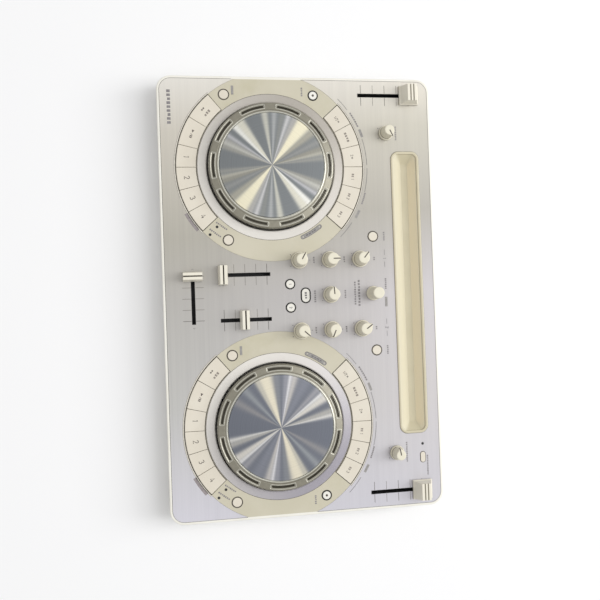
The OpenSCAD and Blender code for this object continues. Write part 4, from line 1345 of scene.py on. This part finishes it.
def legends(mats):
    """All marks printed on the case, and the painted shade lines in its gaps, in a few layers of ink."""
    layers = {
        "mark": ("panel_legends", "legend"), "label": ("panel_labels", "label"),
        "tick": ("panel_scale_ends", "tick"), "fine": ("panel_scale_lines", "fine_tick"),
        "box": ("panel_label_boxes", "label_box"), "pale": ("panel_arrow_dots", "rim_line"),
        "tab": ("deck_grey_tabs", "tab"), "rim": ("deck_edge_lines", "rim_line"),
        "soft": ("deck_shade_lines", "soft_line"), "gap": ("panel_gap_lines", "gap"),
        "slot": ("slot_edges", "black"),
    }
    inks = {key: Print() for key in layers}
    for side in SIDES:
        gap_lines(side, inks)
        deck_marks(side, inks)
        sweep_arrow(side, inks)
        arc_key_legends(side, mats)
    for draw in (slider_ticks, slot_edges, knob_marks, mixer_marks, key_surrounds, tray_surround):
        draw(inks)
    round_key_legends(mats)
    for key, (name, ink_name) in layers.items():
        slot = "case_top" if key in ("tab", "rim", "soft", "gap") else "brushed_sheet"
        raise_by = PRINT_T * 1.5 if key in ("mark", "pale") else 0.0
        inks[key].build(name, mats[ink_name], ROOT, slot, FACE + raise_by)


# ---- Stage ----


def floor():
    """A plain pale floor."""
    mesh = bpy.data.meshes.new("floor")
    size = 6.0
    corners = [(-size, -size, 0), (size, -size, 0), (size, size, 0), (-size, size, 0)]
    mesh.from_pydata(corners, [], [(0, 1, 2, 3)])
    obj = bpy.data.objects.new("floor", mesh)
    mat, _, shader = surface("floor_white", 0.8)
    feed(shader, "Base Color", (0.93, 0.93, 0.935, 1))
    feed(shader, "Specular IOR Level", 0.1)
    mesh.materials.append(mat)
    bpy.context.scene.collection.objects.link(obj)


def area_light(name, at, size, power):
    """A square soft light that points at the origin."""
    data = bpy.data.lights.new(name, "AREA")
    data.size = size
    data.energy = power
    obj = bpy.data.objects.new(name, data)
    obj.location = at
    obj.rotation_euler = (-Vector(at)).to_track_quat("-Z", "Y").to_euler()
    bpy.context.scene.collection.objects.link(obj)


def light_scene():
    """White surroundings, dimmer towards the floor, and two soft lights from the rear, high and low."""
    world = bpy.data.worlds.new("studio")
    bpy.context.scene.world = world
    world.use_nodes = True
    tree = world.node_tree
    background = tree.nodes["Background"]
    height = split(tree, add(tree, "ShaderNodeTexCoord").outputs["Generated"])[2]
    glow = remap(tree, height, 0.0, 1.0, 0.38, 0.80)
    seen = add(tree, "ShaderNodeLightPath").outputs["Is Camera Ray"]
    shown = maths(tree, "MULTIPLY", seen, maths(tree, "SUBTRACT", 0.94, glow))
    feed(background, "Color", (1.0, 1.0, 1.0, 1))
    feed(background, "Strength", maths(tree, "ADD", glow, shown))
    area_light("key_light", (-0.3, 2.1, 3.3), 2.2, 45.0)
    area_light("rear_light", (-0.2, 3.2, 1.9), 1.7, 48.0)


def camera():
    """The photo's viewpoint: almost straight above, a little to the front, on its side."""
    data = bpy.data.cameras.new("camera")
    data.sensor_width = 36.0
    data.lens = 42.96
    obj = bpy.data.objects.new("camera", data)
    face = Vector((0, 0, FACE * MM))
    at = Vector((0.0105, -0.1124, 0.6494)) + face
    target = Vector((0.0041, -0.0037, 0.0)) + face
    forward = (target - at).normalized()
    up = Vector((-1, 0, 0))
    right = forward.cross(up).normalized()
    up = right.cross(forward)
    level = Matrix((right, up, -forward)).transposed()
    roll = Matrix.Rotation(math.radians(2.01), 3, forward)
    obj.matrix_world = Matrix.Translation(at) @ (roll @ level).to_4x4()
    bpy.context.scene.collection.objects.link(obj)
    bpy.context.scene.camera = obj


# ---- Everything ----

bpy.context.scene.view_settings.view_transform = "Standard"
materials = make_materials()
case_rim(materials)
case_decks(materials)
paint_case(materials)
tray(materials)
for deck_side in SIDES:
    jog_wheel(deck_side, materials)
    jog_disc(deck_side)
    jog_shaft(deck_side, materials)
for knob_name in KNOBS:
    knob(knob_name, materials)
for slider_name in SLIDERS:
    slider(slider_name, materials)
paint_keys(materials)
legends(materials)
floor()
light_scene()
camera()
